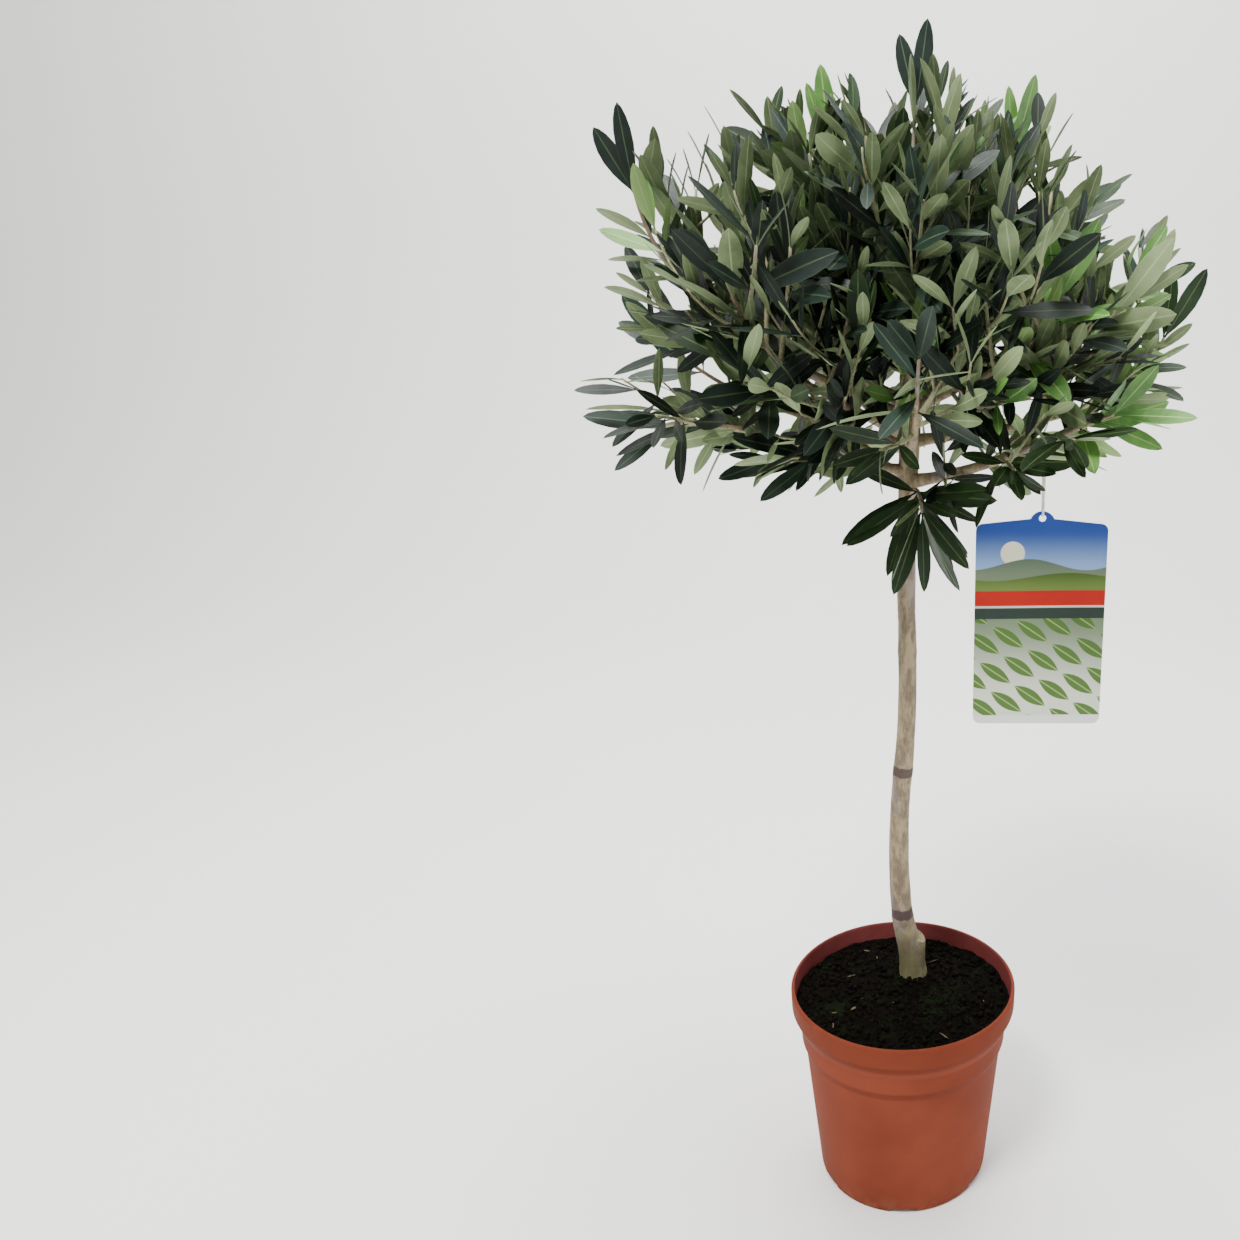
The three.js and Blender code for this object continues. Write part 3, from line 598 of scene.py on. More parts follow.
def bark_finish():
    f = Finish("bark")
    height = f.axis("Z")
    fibres = f.noise(700, 5, 0.65, f.stretched(1, 1, 0.09), 0.4)
    mottle = f.span(f.noise(120, 4, 0.6, f.stretched(1, 1, 0.45)), 0.38, 0.62)
    f.base(mottle, "7d6e5b", "a89879")
    lilac = f.span(f.noise(55, 4, 0.6, f.stretched(1, 1, 0.3)), 0.5, 0.68, 0, 0.45)
    f.coat(lilac, "8d8590")
    moss = f.span(f.noise(38, 3, 0.6), 0.58, 0.72, 0, 0.4)
    f.coat(moss, "8c8a64")
    streaks = f.span(fibres, 0.52, 0.68, 0, 0.7)
    f.coat(streaks, "5f5448")
    pores = f.span(f.cells(330, f.stretched(1, 1, 1.8)), 0.1, 0.2, 0.45, 0)
    f.coat(pores, "4d4238")
    foot = f.span(height, 0.235, 0.18, 0, 0.88)
    f.coat(foot, "646044")
    wobble = f.times(f.minus(f.noise(90, 2), 0.5), 0.006)
    level = f.plus(height, wobble)
    for middle in TRUNK_BANDS:
        away = f.math("ABSOLUTE", f.minus(level, middle * METRES))
        f.coat(f.span(away, 0.0052, 0.0038, 0, 0.86), "47363a")
    ridges = f.bump(fibres, 0.55, 0.0012)
    lumps = f.bump(mottle, 0.35, 0.0012, ridges)
    return f.done(0.78, lumps, Specular_IOR_Level=0.3)


def sawn_finish():
    f = Finish("sawn_wood")
    rings = f.math("SINE", f.times(f.noise(120, 2, 0.4), 60))
    f.base(f.span(rings, -1, 1), "8a7d5c", "6b6046")
    dirt = f.span(f.noise(200, 4), 0.5, 0.7, 0, 0.6)
    f.coat(dirt, "80705c")
    return f.done(0.8, f.bump(rings, 0.3, 0.0005))


def twig_finish(name, dark, light, speck):
    f = Finish(name)
    fibres = f.noise(900, 4, 0.6, f.stretched(1, 1, 0.25))
    f.base(f.span(fibres, 0.35, 0.65), dark, light)
    broad = f.span(f.noise(45, 3), 0.4, 0.65, 0, 0.5)
    f.coat(broad, light)
    specks = f.span(f.cells(600), 0.08, 0.2, 0.5, 0)
    f.coat(specks, speck)
    return f.done(0.68, f.bump(fibres, 0.4, 0.0005))


def leaf_finish(name, dark, light, rib, roughness, shine):
    """A leaf face: its own tone, a paler midrib, fine side veins and a dusting of specks."""
    f = Finish(name)
    blade = f.node("SeparateXYZ", {0: f.node("UVMap", uv_map="blade").outputs["UV"]})
    across = f.math("ABSOLUTE", f.minus(blade.outputs["X"], 0.5))
    tone = f.span(f.noise(16, 3, 0.6), 0.36, 0.64)
    f.base(tone, dark, light)
    patches = f.span(f.noise(210, 4, 0.6), 0.45, 0.75, 0, 0.4)
    f.coat(patches, light)
    slant = f.plus(f.times(blade.outputs["Y"], 26), f.times(across, -14))
    veins = f.span(f.math("ABSOLUTE", f.math("SINE", f.times(slant, math.pi))), 0.16, 0.0)
    f.coat(f.times(veins, 0.16), rib)
    midrib = f.span(across, 0.05, 0.018)
    f.coat(f.times(midrib, 0.62), rib)
    margin = f.span(across, 0.43, 0.5, 0, 0.22)
    f.coat(margin, rib)
    relief = f.bump(f.minus(f.times(veins, 0.3), midrib), 0.35, 0.0004)
    pores = f.bump(f.noise(1600, 3), 0.16, 0.0003, relief)
    rough = f.span(f.noise(70, 3), 0.3, 0.7, roughness - 0.06, roughness + 0.08)
    return f.done(rough, pores, Specular_IOR_Level=shine)


def card_finish(low, high):
    """Printed hills, plain bands and small leaves on the card's front, and a plain white back."""
    f = Finish("label_print")
    down = f.minus(high[2] * METRES, f.axis("Z"))
    across = f.minus(f.axis("X"), (low[0] + high[0]) / 2 * METRES)

    def edge(level, swing, period, shift):
        """1 below a gently waving line across the card."""
        turn = f.plus(f.times(across, 2 * math.pi / period), shift)
        wave = f.times(f.math("SINE", turn), swing)
        return f.span(f.plus(down, wave), level - 0.0003, level + 0.0003)

    def disc(x, y, radius):
        """1 within a round spot on the card."""
        aside, below = f.minus(across, x), f.minus(down, y)
        away = f.math("SQRT", f.plus(f.times(aside, aside), f.times(below, below)))
        return f.span(away, radius + 0.0003, radius - 0.0003)

    def leaflets(slope, along, apart, shift):
        """1 within pointed leaf shapes set in slanting rows."""
        u = f.plus(f.times(across, math.cos(slope)), f.times(down, math.sin(slope)))
        v = f.minus(f.times(down, math.cos(slope)), f.times(across, math.sin(slope)))
        row = f.math("DIVIDE", v, apart)
        step = f.times(f.math("FLOOR", row), 0.37)
        repeat = f.plus(f.math("DIVIDE", u, along), f.plus(step, shift))
        u = f.minus(f.math("FRACT", repeat), 0.5)
        v = f.math("ABSOLUTE", f.minus(f.math("FRACT", row), 0.5))
        half = f.minus(0.36, f.times(f.times(u, u), 1.8))
        return f.span(f.minus(half, v), -0.01, 0.03), f.span(v, 0.05, 0.02)

    f.base(f.span(down, 0.076, 0.14), "74876a", "d5dccb")
    shape, rib = leaflets(0.6, 0.031, 0.0135, 0.2)
    f.coat(shape, "4f7034")
    f.coat(f.times(shape, rib), "8fa768")
    field = f.colour
    hills = f.mix(f.span(down, 0.03, 0.05), linear("56695a"), linear("748469"))
    meadow = f.mix(f.span(down, 0.04, 0.058), linear("3f5a22"), linear("6d8440"))
    f.base(f.span(down, 0.012, 0.046), "2a4a9e", "8fb2e2")
    f.coat(disc(-0.02, 0.03, 0.0085), "e9e6cf")
    f.coat(edge(0.038, 0.004, 0.08, 2.2), hills)
    f.coat(edge(0.047, 0.003, 0.11, 0.4), meadow)
    # Each band: how far down the card it starts, in metres, and its tone.
    bands = ((0.057, "bd1f12"), (0.068, "d8d9cc"), (0.0695, "2c3a33"), (0.0775, field), (0.1505, "e3e6df"))
    for level, tone in bands:
        f.coat(edge(level, 0.0004, 0.182, 0.2), tone)
    facing = f.node("SeparateXYZ", {0: f.node("TexCoord").outputs["Normal"]}).outputs["Y"]
    f.coat(f.span(facing, -0.7, -0.5), "e9ebe8")
    scuffs = f.span(f.noise(300, 5, 0.7), 0.4, 0.75, 0.3, 0.46)
    return f.done(scuffs, f.bump(f.noise(30, 2), 0.06, 0.001), Specular_IOR_Level=0.22)


def loop_finish():
    f = Finish("label_loop_plastic")
    f.base(f.span(f.noise(200, 3), 0.4, 0.6), "c9cdca", "e4e6e2")
    return f.done(0.3, f.bump(f.noise(900, 2), 0.1, 0.0002))


# The pot and its soil


def rounded(outline, steps=4):
    """The outline with each corner replaced by a short curve of its own size."""
    made = []
    for k, (radius, height, size) in enumerate(outline):
        corner = np.array([radius, height], float)
        if size == 0:
            made.append(corner)
            continue
        before = np.array(outline[k - 1][:2], float)
        after = np.array(outline[k + 1][:2], float)
        start = corner + unit(before - corner) * min(size, 0.45 * np.linalg.norm(before - corner))
        end = corner + unit(after - corner) * min(size, 0.45 * np.linalg.norm(after - corner))
        for t in np.linspace(0, 1, steps + 1):
            made.append((1 - t) ** 2 * start + 2 * t * (1 - t) * corner + t**2 * end)
    return made


def make_pot():
    rings = rounded(POT_OUTLINE)[1:-1]
    turns = [2 * math.pi * k / POT_SIDES for k in range(POT_SIDES)]
    points = [(*polar(radius, turn), height) for radius, height in rings for turn in turns]
    faces = rows_of_faces(len(rings), POT_SIDES)
    faces.append(list(range(POT_SIDES))[::-1])
    faces.append([(len(rings) - 1) * POT_SIDES + k for k in range(POT_SIDES)])
    pot = mesh_object("pot_shell", points, faces, [pot_finish()])
    cut_drain_slots(pot)
    install(pot, "pot", slot="pot_plastic")


def cut_drain_slots(pot):
    slots = Shape()
    deep, wide, high = (DRAIN_SLOT[key] for key in ("depth", "width", "height"))
    for k in range(DRAIN_SLOTS):
        turn = 2 * math.pi * k / DRAIN_SLOTS + math.pi / 2
        out = np.array([math.cos(turn), math.sin(turn), 0])
        side = np.array([-out[1], out[0], 0])
        corners = [
            (DRAIN_SLOT["radius"] + a * deep) * out + b * wide / 2 * side + np.array([0, 0, c * high])
            for c in (-1, 1)
            for a, b in ((-1, -1), (1, -1), (1, 1), (-1, 1))
        ]
        box = [[3, 2, 1, 0], [4, 5, 6, 7], [0, 1, 5, 4], [1, 2, 6, 5], [2, 3, 7, 6], [3, 0, 4, 7]]
        slots.add(corners, box)
    cutter = slots.build("drain_slots", [])
    cut = pot.modifiers.new("slots", "BOOLEAN")
    cut.operation = "DIFFERENCE"
    cut.object = cutter
    apply_modifiers(pot)
    bpy.data.objects.remove(cutter)


def apply_modifiers(piece):
    graph = bpy.context.evaluated_depsgraph_get()
    done = bpy.data.meshes.new_from_object(piece.evaluated_get(graph))
    piece.modifiers.clear()
    piece.data = done
    piece.data.set_sharp_from_angle(angle=math.radians(40))


def soil_height(x, y):
    out = math.hypot(x, y)
    level = np.interp(out, [0, MOUND_RADIUS, SOIL_RADIUS], [SOIL_TOP, SOIL_TOP, SOIL_EDGE + 0.6])
    rough = 1.7 * noise.noise(Vector((x, y, 0)) / 17) + 1.5 * noise.noise(Vector((x, y, 40)) / 7)
    return level - 1.2 + rough + 1.0 * noise.noise(Vector((x, y, 80)) / 3)


def on_soil(x, y, lift=0.0):
    return np.array([x, y, soil_height(x, y) + lift])


def make_soil():
    rings, sides = 80, 180
    points = [on_soil(0, 0)]
    for ring in range(1, rings + 1):
        for k in range(sides):
            points.append(on_soil(*polar(SOIL_RADIUS * ring / rings, 2 * math.pi * k / sides)))
    faces = [[0, 1 + k, 1 + (k + 1) % sides] for k in range(sides)]
    faces += [[a, d, c, b] for a, b, c, d in rows_of_faces(rings, sides, 1)]
    ground = mesh_object("soil_surface", points, faces, [soil_finish("soil", "030303", "0c0a08")])
    install(ground, "soil", slot="potting_soil")
    make_crumbs()


def lump(rng, centre, size, flatness, long):
    """A small irregular lump: a turned and dented ball."""
    form = bmesh.new()
    bmesh.ops.create_icosphere(form, subdivisions=1, radius=1)
    axis, angle = unit(np.array([rng.gauss(0, 1) for _ in range(3)])), rng.uniform(0, math.pi)
    points = []
    for vertex in form.verts:
        dent = 1 + DENT * rng.uniform(-1, 1)
        local = np.array(vertex.co) * dent * size * np.array([long, 1, flatness])
        turn = turned(local, axis, angle if long < 1.5 else 0.3)
        points.append(centre + turned(turn, UP, 2 * angle))
    faces = [[v.index for v in face.verts] for face in form.faces]
    form.free()
    return points, faces


def soil_spot(rng, clear):
    """A random spot on the soil that keeps clear of its edge."""
    out = (SOIL_RADIUS - clear) * math.sqrt(rng.random())
    return polar(out, rng.uniform(0, 2 * math.pi))


def make_crumbs():
    rng = random.Random(7)
    clods, chips = Shape(), Shape()
    for _ in range(CLODS["count"]):
        spot = soil_spot(rng, CLODS["clear"])
        size = CLODS["least"] + CLODS["more"] * rng.random() ** 4
        clods.add(*lump(rng, on_soil(*spot, 0.25 * size), size, 0.8, 1.2))
    for _ in range(CHIPS["count"]):
        spot = soil_spot(rng, CHIPS["clear"])
        size = CHIPS["least"] + CHIPS["more"] * rng.random()
        chips.add(*lump(rng, on_soil(*spot, 0.8), size, 0.5, rng.uniform(2, 9)))
    chips.add(*lump(rng, on_soil(*PALE_CHIP, 1.4), 1.5, 0.5, 1.9))
    install(clods.build("soil_clods", [soil_finish("soil_crumbs", "050404", "14100c")]), slot="potting_soil")
    install(chips.build("soil_chips", [chip_finish()]), slot="potting_soil")


# The trunk and the limbs

trunk_line = smooth_line(TRUNK_LINE)
trunk_heights = trunk_line.spaced(200)


def trunk_radius(height):
    return float(np.interp(height, *zip(*TRUNK_RADIUS)))


def relief(x, y, z, size):
    """Dents and ridges that run along the wood, as a share of its radius."""
    long = noise.noise(Vector((x / size, y / size, z / (5 * size))))
    fine = noise.noise(Vector((x / size, y / size, z / (2 * size))) * 2.7)
    return 0.05 * long + 0.03 * fine


def make_trunk(bark, sawn):
    def radius_at(share, angle, height):
        radius = trunk_radius(height)
        x, y = polar(radius, angle)
        joint = sum(math.exp(-(((height - z) / 5) ** 2)) for z in TRUNK_JOINTS)
        flare = FLARE["size"] * math.exp(-(((height - FLARE["height"]) / FLARE["spread"]) ** 2))
        flare *= 1 + FLARE["depth"] * math.cos(FLARE["ridges"] * angle)
        return radius * (1 + relief(x, y, height, 5) + 0.045 * joint + flare)

    shape = Shape()
    points, faces = tube(trunk_line, radius_at, sides=40, steps=260, start=0.012)
    shape.add(points, faces)
    stub = Curve([STUB["foot"], STUB["head"]])

    def stub_at(share, angle, height):
        radius = tapered(STUB["radius"], share)
        return radius * (1 + relief(*polar(radius, angle), height, 4))

    points, faces = tube(stub, stub_at, sides=40, steps=70)
    facing, through = np.array(STUB_CUT["facing"]), np.array(STUB_CUT["through"])
    kept = []
    for point in points:
        past = (point - through) @ facing
        kept.append(point - facing * max(past, 0))
    side = faces[:-2]
    cut_faces = [face for face in side if all((kept[k] - through) @ facing > -1e-6 for k in face)]
    shape.add(kept, [face for face in faces if face not in cut_faces])
    shape.add(kept, cut_faces, 1)
    install(shape.build("trunk_bark", [bark, sawn]), "trunk", slot="bark")


def point_on_trunk(height):
    return trunk_heights[np.argmin(np.abs(trunk_heights[:, 2] - height))]


class Limb:
    """One limb of the crown: its line from the trunk to the tip, its bough and the stem beyond it."""

    def __init__(self, name, bearing, leaves_at, leaves, ends, reach, tip, lift):
        self.name, self.lift = name, lift
        self.nods, self.flat = lift < -LEVEL_LIFT, abs(lift) < LEVEL_LIFT
        start = point_on_trunk(leaves_at)
        ending = direction(bearing, ends)
        outermost = reach * direction(bearing, 0) + np.array([*CROWN_AXIS, tip])
        end = outermost - LEADER_LEAF * ending
        span = np.linalg.norm(end - start)
        first = start + LIMB_STRAIGHT[0] * span * direction(bearing, leaves)
        second = end - LIMB_STRAIGHT[1] * span * ending
        self.line = bezier(start, first, second, end)
        self.site = self.line.at(1 if self.nods else SITE_SHARE)

    def depth(self, points, crown=False):
        """How far the points lie inside this limb's own space, nearer to its site than to the others.

        The crown's own spaces leave out the limbs that nod, which hang below it.
        """
        others = np.array([limb.site for limb in limbs if limb is not self and not (crown and limb.nods)])
        points = np.atleast_2d(points)
        own = ((points - self.site) ** 2).sum(1)[:, None]
        theirs = ((points[:, None] - others[None]) ** 2).sum(2)
        return ((theirs - own) / (2 * np.linalg.norm(others - self.site, axis=1))).min(1)

    def divide(self):
        shares = np.arange(int(LINE_SAMPLES * SITE_SHARE) + 1) / LINE_SAMPLES
        depths = [self.depth(self.line.at(share))[0] for share in shares]
        outside = [k for k, depth in enumerate(depths) if depth <= DEPTH["entry"]]
        self.enters = max(0.3, ((outside[-1] if outside else 0) + 1) / LINE_SAMPLES)
        if self.name == LABEL_LIMB:
            self.enters = LABEL_BOUGH_LENGTH / self.line.length
        leaves_at = SITE_SHARE
        while leaves_at < 1 and self.depth(self.line.at(leaves_at + 0.02))[0] > DEPTH["exit"]:
            leaves_at += 0.02
        self.bough = self.line.stretch(0, self.enters)
        self.stem = self.line.stretch(self.enters, min(leaves_at, 1))
        self.leafy = self.line.stretch(self.enters * BARE_BOUGH, min(leaves_at, 1))


limbs = [Limb(*spec) for spec in LIMBS]
for limb in limbs:
    limb.divide()


def make_boughs(bark):
    shape = Shape()
    for k, limb in enumerate(limbs):

        def radius_at(share, angle, height, shift=37.0 * k):
            radius = tapered(BOUGH_RADIUS, share)
            collar = 0.35 * math.exp(-((share / 0.12) ** 2))
            x, y = polar(radius, angle)
            return radius * (1 + collar + 1.4 * relief(x + shift, y, 60 * share, 3))

        shape.add(*tube(limb.bough, radius_at, sides=14, steps=26, start=0.02))
    install(shape.build("boughs_bark", [bark]), *(f"bough_{limb.name}" for limb in limbs), slot="bark")


# What leaves and shoots keep clear of


def gaps(start, end, starts, ends):
    """The least distances between one straight stretch and many others."""
    u, v, w = end - start, ends - starts, start - starts
    a, b, c = u @ u, v @ u, (v * v).sum(1)
    d, e = w @ u, (v * w).sum(1)
    across = a * c - b * b
    s = np.where(across > 1e-6, np.clip((b * e - c * d) / np.maximum(across, 1e-6), 0, 1), 0)
    t = np.clip((b * s + e) / c, 0, 1)
    s = np.clip((b * t - d) / a, 0, 1)
    return np.linalg.norm(start + s[:, None] * u - starts - t[:, None] * v, axis=1)


class Room:
    """Straight stretches that are already taken, each with its radius."""

    def __init__(self):
        self.starts, self.ends, self.radii = [], [], []
        self.packed = None

    def take(self, start, end, radius=0.0):
        self.starts.append(start)
        self.ends.append(end)
        self.radii.append(radius)
        self.packed = None

    def take_curve(self, curve, steps, radius_at):
        points = curve.spaced(steps + 1)
        for k in range(steps):
            self.take(points[k], points[k + 1], radius_at((k + 0.5) / steps))

    def least(self, start, end):
        if not self.starts:
            return math.inf
        if self.packed is None:
            self.packed = np.array(self.starts), np.array(self.ends), np.array(self.radii)
        starts, ends, radii = self.packed
        return float((gaps(start, end, starts, ends) - radii).min())


card_low, card_high = (np.array(corner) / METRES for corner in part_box("label_card"))


def fixed_obstacles():
    """The trunk, the boughs, the shafts that let the sky through and the label's loop."""
    room = Room()
    room.take_curve(trunk_line, 40, lambda share: trunk_radius(trunk_line.at(share)[2]))
    for limb in limbs:
        room.take_curve(limb.bough, 8, lambda share: tapered(BOUGH_RADIUS, share))
    eye = np.array([0, -CAMERA_BACK, CAMERA_HEIGHT])
    for across, height, radius in SKY_GAPS:
        middle = np.array([across, 0, height])
        through = unit(middle - eye) * SHAFT_REACH * CROWN_RADIUS
        room.take(middle - through, middle + through, radius)
    low, high = (np.array(corner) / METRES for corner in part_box("label_loop"))
    level = (low + high) / 2 * [1, 1, 0]
    room.take(level + UP * low[2], level + UP * high[2], LOOP_CLEARANCE)
    return room


obstacles = fixed_obstacles()


def clear_of_card(points):
    points = np.atleast_2d(points)
    near = (points > card_low - CARD_CLEARANCE) & (points < card_high + CARD_CLEARANCE)
    return not near.all(1).any()


def crown_share(point):
    """The share of the crown's radius at which a point lies."""
    above = point[2] > CROWN_WAIST
    half = CROWN_TOP - CROWN_WAIST if above else CROWN_WAIST - CROWN_UNDERSIDE - UNDERSIDE_SLOPE * point[0]
    power = CROWN_SQUARENESS["above" if above else "below"]
    out = math.hypot(*(point[:2] - CROWN_AXIS)) / CROWN_RADIUS
    return (out**power + (abs(point[2] - CROWN_WAIST) / half) ** power) ** (1 / power)


# Shoots and leaves


def side_shoot(parent, lift, share, turn, length, angle):
    root, axis = parent.at(share), parent.tangent(share)
    across = turned(level_across(axis), axis, turn)
    leaves = axis * math.cos(angle) + across * math.sin(angle)
    bend = unit(leaves * (1 - abs(lift)) + UP * lift)
    middle = root + 0.42 * length * leaves
    return bezier(root, middle, middle + 0.58 * length * bend)


def shoot_fits(limb, curve, room, order, skin):
    points = curve.spaced(9, 0.25, 1)
    if limb.depth(points, True).min() < DEPTH["shoot"] or not clear_of_card(points):
        return False
    if crown_share(curve.at(1)) > skin - SKIN_MARGIN["flat" if limb.flat else "other"]:
        return False
    outer = curve.spaced(4, 0.3, 1)
    for start, end in zip(outer, outer[1:]):
        if room.least(start, end) < SHOOT_GAP[order] or obstacles.least(start, end) < LIMB_CLEARANCE:
            return False
    return True


def grow_shoots(limb, parent, order, rng, room):
    """Side shoots up a parent, each a golden angle round from the last, where there is room."""
    spec = SHOOTS[order]
    count = max(1, round(parent.length * (spec["to"] - spec["from"]) / spec["apart"]))
    turn = 0.2 if limb.flat else rng.uniform(0, 2 * math.pi)
    made = []
    for k in range(count):
        share = spec["from"] + (spec["to"] - spec["from"]) * (k + 0.7 * rng.random()) / count
        skin = 0.8 + 0.2 * rng.random()
        height = parent.at(share)[2]
        lift = limb.lift * max(LIFT_GROWS["least"], ramp(height, LIFT_GROWS["from"], LIFT_GROWS["over"]))
        for twist, factor in SHOOT_TRIES:
            length = spec["length"] * factor * rng.uniform(0.9, 1.08)
            angle = spec["set"] * rng.uniform(0.85, 1.15)
            curve = side_shoot(parent, lift, share, turn + twist, length, angle)
            if shoot_fits(limb, curve, room, order, skin):
                room.take_curve(curve, 3, lambda share: 0)
                made.append((curve, skin))
                break
        turn += math.pi if limb.flat else GOLDEN_ANGLE
    return made


def leaf_fits(limb, leaf, room):
    root, ahead, face, side, length = (leaf[key] for key in ("root", "ahead", "face", "side", "length"))
    reach = length * LEAF_HALF_WIDTH
    edge = [
        root + length * forward * ahead + across * reach * side
        for forward in (0.35, 0.7)
        for across in (-1, 1)
    ]
    tip = root + length * ahead - leaf["droop"] * length * face
    near, middle = root + 0.25 * length * ahead, root + 0.6 * length * ahead
    if limb.depth(np.array([*edge, tip, middle]), True).min() < DEPTH["leaf"]:
        return False
    if not clear_of_card([*edge, tip, middle]):
        return False
    if crown_share(tip) > leaf["bound"]:
        return False
    gap = KNOT["gap"] if limb.nods else LEAF_GAP
    if min(obstacles.least(near, tip), room.least(middle if limb.nods else near, tip)) < gap:
        return False
    room.take(near, tip)
    return True


def spray_weights(limb, shoot):
    """How likely a spray of this shoot is to be deep, plain, slate or young green: painted shade within,
    painted light at the lit skin.
    """
    if limb.nods:
        return KNOT_WEIGHTS
    point = shoot.curve.at(0.7)
    # Painted light and shade: sprays where the light falls lean to the young tone, shaded ones to the deep
    # tone.
    right = ramp(point[0], *LIGHTER["right"])
    lit = ramp(point[2], *LIGHTER["low"])
    if shoot.leads:
        high = ramp(point[2], *LIGHTER["leaders"])
        return 30 - 24 * high, 40, 30 - 20 * high, 90 * max(high, right * lit)
    rim = ramp(crown_share(point), *LIGHTER["rim"])
    sunny = ramp(point[2], *LIGHTER["sunny"])
    young_sunlit = 3 + 8 * rim * sunny + 80 * rim * right * lit
    return 62 - 48 * rim * sunny, 16 + 30 * rim, 20, young_sunlit


class Shoot:
    """A curve that bears leaves beyond its bare foot, with the spacing of their pairs and their size.

    Its leaves keep within the skin, a share of the crown's radius. The leader of a limb has no such bound.
    """

    def __init__(self, curve, bare, spacing=PAIR_SPACING, size=1.0, skin=math.inf):
        self.curve, self.bare, self.spacing, self.size, self.skin = curve, bare, spacing, size, skin
        self.leads = skin == math.inf


def leaf_from(bud, limb, spread, shrink, off):
    """The leaf that a bud would make at one of the openings, lengths and turns that it tries.

    A bud's luck is four draws: how far it opens, its twist, its length with its width, and its skew.
    """
    root, axis, last, skin = (bud[key] for key in ("root", "axis", "last", "skin"))
    spread_by, twist, long, skew = bud["luck"]
    tilt = bud["opened"] * spread * (0.6 + 0.8 * spread_by)
    out = turned(bud["outward"], axis, off)
    ahead = axis * math.cos(tilt) + out * math.sin(tilt)
    sag = 0 if last else ramp(-root[2], -SAG["height"], SAG["over"]) * (SAG["flat"] if limb.flat else 1)
    hangs = sag > HANGING["sag"] and skew > HANGING["luck"]
    pull = HANGING["pull" if hangs else "usual_pull"]
    ahead = unit(ahead + UP * (0.3 * (twist - 0.45) * (not last) - pull * sag * skew))
    face = axis + 0.6 * UP - 0.2 * out
    if last:
        along = (root[1] - TRUNK_LINE[-1][1]) / CROWN_RADIUS
        ahead = unit(ahead - LAST_PAIR["lean"] * along**3 * LIGHT_SIDE)
        face = 0.6 * UP + 0.5 * unit((root - TRUNK_LINE[-1]) * [1, 1, 0.1]) + 1.2 * LIGHT_SIDE
    face = turned(unit(face - ahead * (face @ ahead)), ahead, (skew - 0.5) * (1 if last else 2.2))
    return {
        "root": root,
        "ahead": ahead,
        "face": face,
        "side": np.cross(ahead, face),
        "length": bud["length"] * shrink,
        "droop": 0.03 if last else 0.2 * (skew - 0.25),
        "fold": 0.1 + 0.5 * twist,
        "wide": (0.8 + 0.28 * long) * (KNOT["width"] if limb.nods else 1),
        "bound": math.inf if last or limb.nods else min(skin, 0.98) + 0.14 * (limb.flat + 2 * hangs),
        "finish": bud["finish"],
    }


def dress_shoot(limb, shoot, rng, room):
    """Opposite pairs of leaves, each pair a quarter turn on, that close up towards the tip of the shoot."""
    curve, leaves = shoot.curve, []
    pairs = max(1, round((curve.length - shoot.bare) / shoot.spacing))
    roll = rng.uniform(0, math.pi)
    if limb.flat or limb.nods:
        roll = FLAT_ROLL * limb.flat
    finish = rng.choices(range(UPPER_TONES), spray_weights(limb, shoot))[0]
    foot_open = KNOT["open"] if limb.nods else PAIR_OPEN[0]
    for k in range(pairs + 1):
        share = min((shoot.bare + k * (curve.length - shoot.bare) / pairs) / curve.length, LAST_SHARE)
        axis = curve.tangent(share)
        last = shoot.leads and k == pairs
        turn = KNOT["fan"] * math.sin(k * GOLDEN_ANGLE) if limb.nods else k * math.pi / 2
        across = turned(level_across(axis), axis, roll + turn)
        if last:
            across = unit(np.cross(axis, LIGHT_SIDE))
        opened = math.radians(foot_open + (PAIR_OPEN[1] - foot_open) * k / pairs)
        tip_size = TIP_LEAF + (1 - TIP_LEAF) * min(1, (pairs - k) / 2)
        for hand in (1, -1):
            luck = [rng.random() for _ in range(4)]
            length = LEAF_LENGTH * shoot.size * tip_size * (0.74 + 0.5 * luck[2])
            if last:
                opened = math.radians(LAST_PAIR["flat" if limb.flat else "open"][hand < 0])
                length = LEADER_LEAF * LAST_PAIR["size"][hand < 0]
            bud = {
                "root": curve.at(share),
                "axis": axis,
                "outward": across * hand,
                "opened": opened,
                "length": length,
                "luck": luck,
                "last": last,
                "skin": shoot.skin,
                "finish": finish,
            }
            for tried in LEAF_TRIES:
                leaf = leaf_from(bud, limb, *tried)
                if leaf_fits(limb, leaf, room):
                    leaves.append(leaf)
                    break
    return leaves


def grow_mass(limb, index, room):
    """A mass's twigs as (curve, radii) and its leaves."""
    rng = random.Random(1009 + 31 * index)
    twigs = [(limb.stem, STEM_RADIUS)]
    if limb.nods:
        shoots = [Shoot(limb.stem, limb.stem.length - KNOT["depth"], KNOT["spacing"], KNOT["size"])]
    else:
        shoots = [Shoot(limb.stem, 0.5 * limb.stem.length, size=1.1)]
        parents = [limb.leafy]
        for order, spec in enumerate(SHOOTS):
            made = [shoot for parent in parents for shoot in grow_shoots(limb, parent, order, rng, room)]
            twigs += [(curve, spec["radius"]) for curve, _ in made]
            shoots += [Shoot(curve, spec["bare"] * curve.length, skin=skin) for curve, skin in made]
            parents = [curve for curve, _ in made]
    leaves = [leaf for shoot in shoots for leaf in dress_shoot(limb, shoot, rng, room)]
    return twigs, leaves


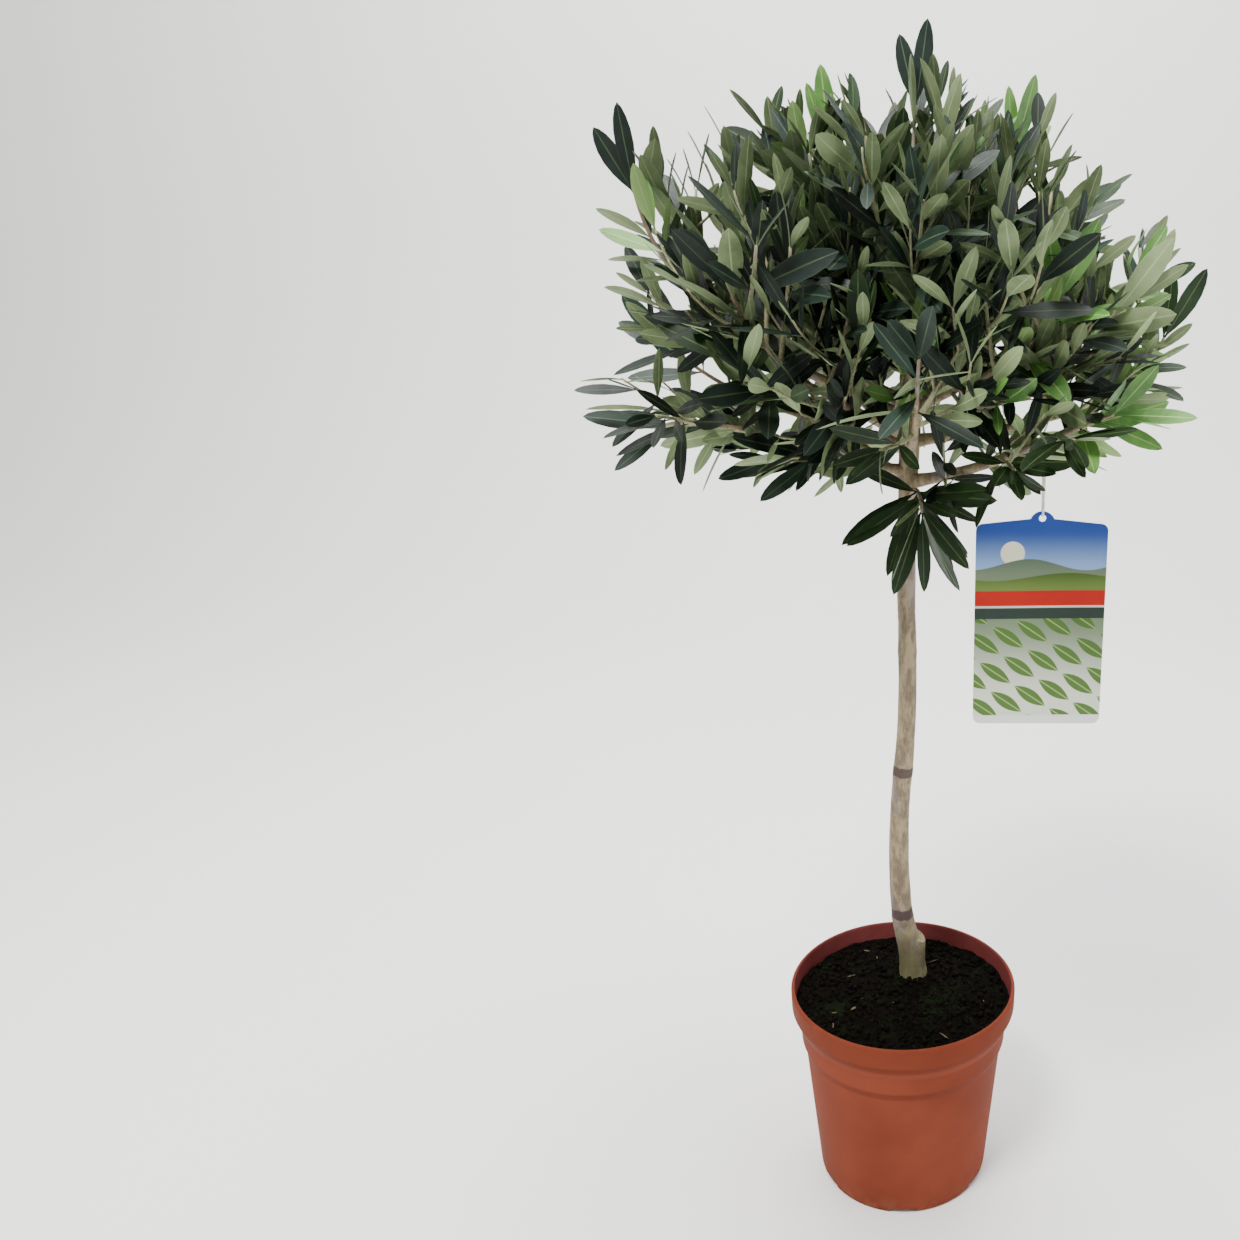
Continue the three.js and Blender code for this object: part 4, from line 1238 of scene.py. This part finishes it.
def leaf_points(leaf):
    """The points of a leaf's upper and lower faces: for each station its left edge, middle and right edge."""
    upper, lower = [], []
    root, ahead, face, side = (leaf[key] for key in ("root", "ahead", "face", "side"))
    length, half = leaf["length"], leaf["length"] * LEAF_HALF_WIDTH * leaf["wide"]
    for forward, width in BLADE:
        middle = root + forward * length * ahead - leaf["droop"] * length * forward**2 * face
        lift = 0.3 * leaf["fold"] * width * half * face
        thick = LEAF_THICKNESS * (1.6 if forward < 0.1 else 1) * face
        left, right = middle + width * half * side + lift, middle - width * half * side + lift
        upper += [left, middle, right]
        lower += [left, middle - thick, right]
    tip = root + length * ahead - leaf["droop"] * length * face
    return [*upper, tip], [*lower, tip]


def leaf_faces():
    """The faces of one side of a leaf, and the place of each of their corners across and along the blade."""
    faces, last = [], len(BLADE) - 1
    for row in range(last):
        a = 3 * row
        faces += [[a, a + 3, a + 4, a + 1], [a + 1, a + 4, a + 5, a + 2]]
    tip = 3 * len(BLADE)
    faces += [[3 * last, tip, 3 * last + 1], [3 * last + 1, tip, 3 * last + 2]]
    spots = [(k / 2, forward) for forward, _ in BLADE for k in range(3)] + [(0.5, 1.0)]
    return faces, spots


def make_leaves(leaves):
    face_list, spots = leaf_faces()
    points, faces, finish, corner_uv = [], [], [], []
    for leaf in leaves:
        upper, lower = leaf_points(leaf)
        under = UNDER_YOUNG_SUNLIT if leaf["finish"] == YOUNG_SUNLIT else UNDER
        for side_points, tone, backwards in ((upper, leaf["finish"], True), (lower, under, False)):
            base = len(points)
            points += side_points
            for face in face_list:
                order = face[::-1] if backwards else face
                faces.append([base + k for k in order])
                finish.append(tone)
                corner_uv += [spots[k] for k in order]
    finishes = [leaf_finish(*tone) for tone in LEAF_TONES]
    made = mesh_object("leaves", points, faces, finishes, finish, corner_uv)
    install(made, *(f"foliage_{limb.name}" for limb in limbs), slot="foliage")


def make_twigs(twigs, bark):
    """The stems in the limbs' own bark, and the thinner shoots in green bark."""
    shape = Shape()
    for curve, radii in twigs:
        stem = radii == STEM_RADIUS
        sides, steps = (8, 24) if stem else (6, 9)
        form = tube(curve, lambda share, angle, height, radii=radii: tapered(radii, share), sides, steps)
        shape.add(*form, 0 if stem else 1)
    green = twig_finish("twig_bark", "737350", "a19f7c", "5a4c38")
    install(shape.build("twigs", [bark, green]), slot="foliage")


def make_crown(bark):
    room = Room()
    for limb in limbs:
        room.take_curve(limb.stem, 4, lambda share: 0)
    masses = [grow_mass(limb, index, room) for index, limb in enumerate(limbs)]
    make_leaves([leaf for _, leaves in masses for leaf in leaves])
    make_twigs([twig for twigs, _ in masses for twig in twigs], bark)


# The studio


def make_camera():
    data = bpy.data.cameras.new("camera")
    data.sensor_width = SENSOR
    data.lens = SENSOR * FOCAL / IMAGE_SIDE
    data.shift_x = (IMAGE_SIDE / 2 - PRINCIPAL[0]) / IMAGE_SIDE
    data.shift_y = (PRINCIPAL[1] - IMAGE_SIDE / 2) / IMAGE_SIDE
    data.clip_start = 0.02
    camera = bpy.data.objects.new("camera", data)
    camera.location = (0, -CAMERA_BACK * METRES, CAMERA_HEIGHT * METRES)
    camera.rotation_euler = (math.pi / 2 - CAMERA_DOWN, 0, 0)
    bpy.context.collection.objects.link(camera)
    bpy.context.scene.camera = camera


def make_light(name, energy, size, spot, target, colour):
    data = bpy.data.lights.new(name, "AREA")
    data.energy, data.size, data.color = energy, size, colour
    light = bpy.data.objects.new(name, data)
    light.location = spot
    light.rotation_euler = (Vector(target) - Vector(spot)).to_track_quat("-Z", "Y").to_euler()
    bpy.context.collection.objects.link(light)


def make_studio():
    """A pale floor that curves up into a backdrop, soft lights and a bright room."""
    reach, bends_at, radius, steps = (SWEEP[key] for key in ("reach", "bends_at", "radius", "steps"))
    outline = [(-reach, 0), (bends_at, 0)]
    for k in range(1, steps + 1):
        angle = math.pi / 2 * k / steps
        outline.append((bends_at + radius * math.sin(angle), radius * (1 - math.cos(angle))))
    outline.append((bends_at + radius, reach))
    points = [(x, y, z) for x in (-reach, reach) for y, z in outline]
    count = len(outline)
    faces = [[k, k + count, k + count + 1, k + 1] for k in range(count - 1)]
    f = Finish("studio_paper")
    f.base(f.noise(3, 2), "f2f2f0", "f6f6f4")
    paper = f.done(0.9)
    mesh_object("studio", points, faces, [paper])
    for light in LIGHTS:
        make_light(*light)
    world = bpy.data.worlds.new("room")
    world.use_nodes = True
    sky = world.node_tree.nodes["Background"]
    sky.inputs["Color"].default_value = (1, 1, 1, 1)
    sky.inputs["Strength"].default_value = ROOM_LIGHT
    bpy.context.scene.world = world


make_camera()
make_studio()
bark = bark_finish()
make_pot()
make_soil()
make_trunk(bark, sawn_finish())
make_boughs(bark)
make_crown(bark)

for node, finish in (("label_card", card_finish(card_low, card_high)), ("label_loop", loop_finish())):
    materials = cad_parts[node].data.materials
    materials.clear()
    materials.append(finish)
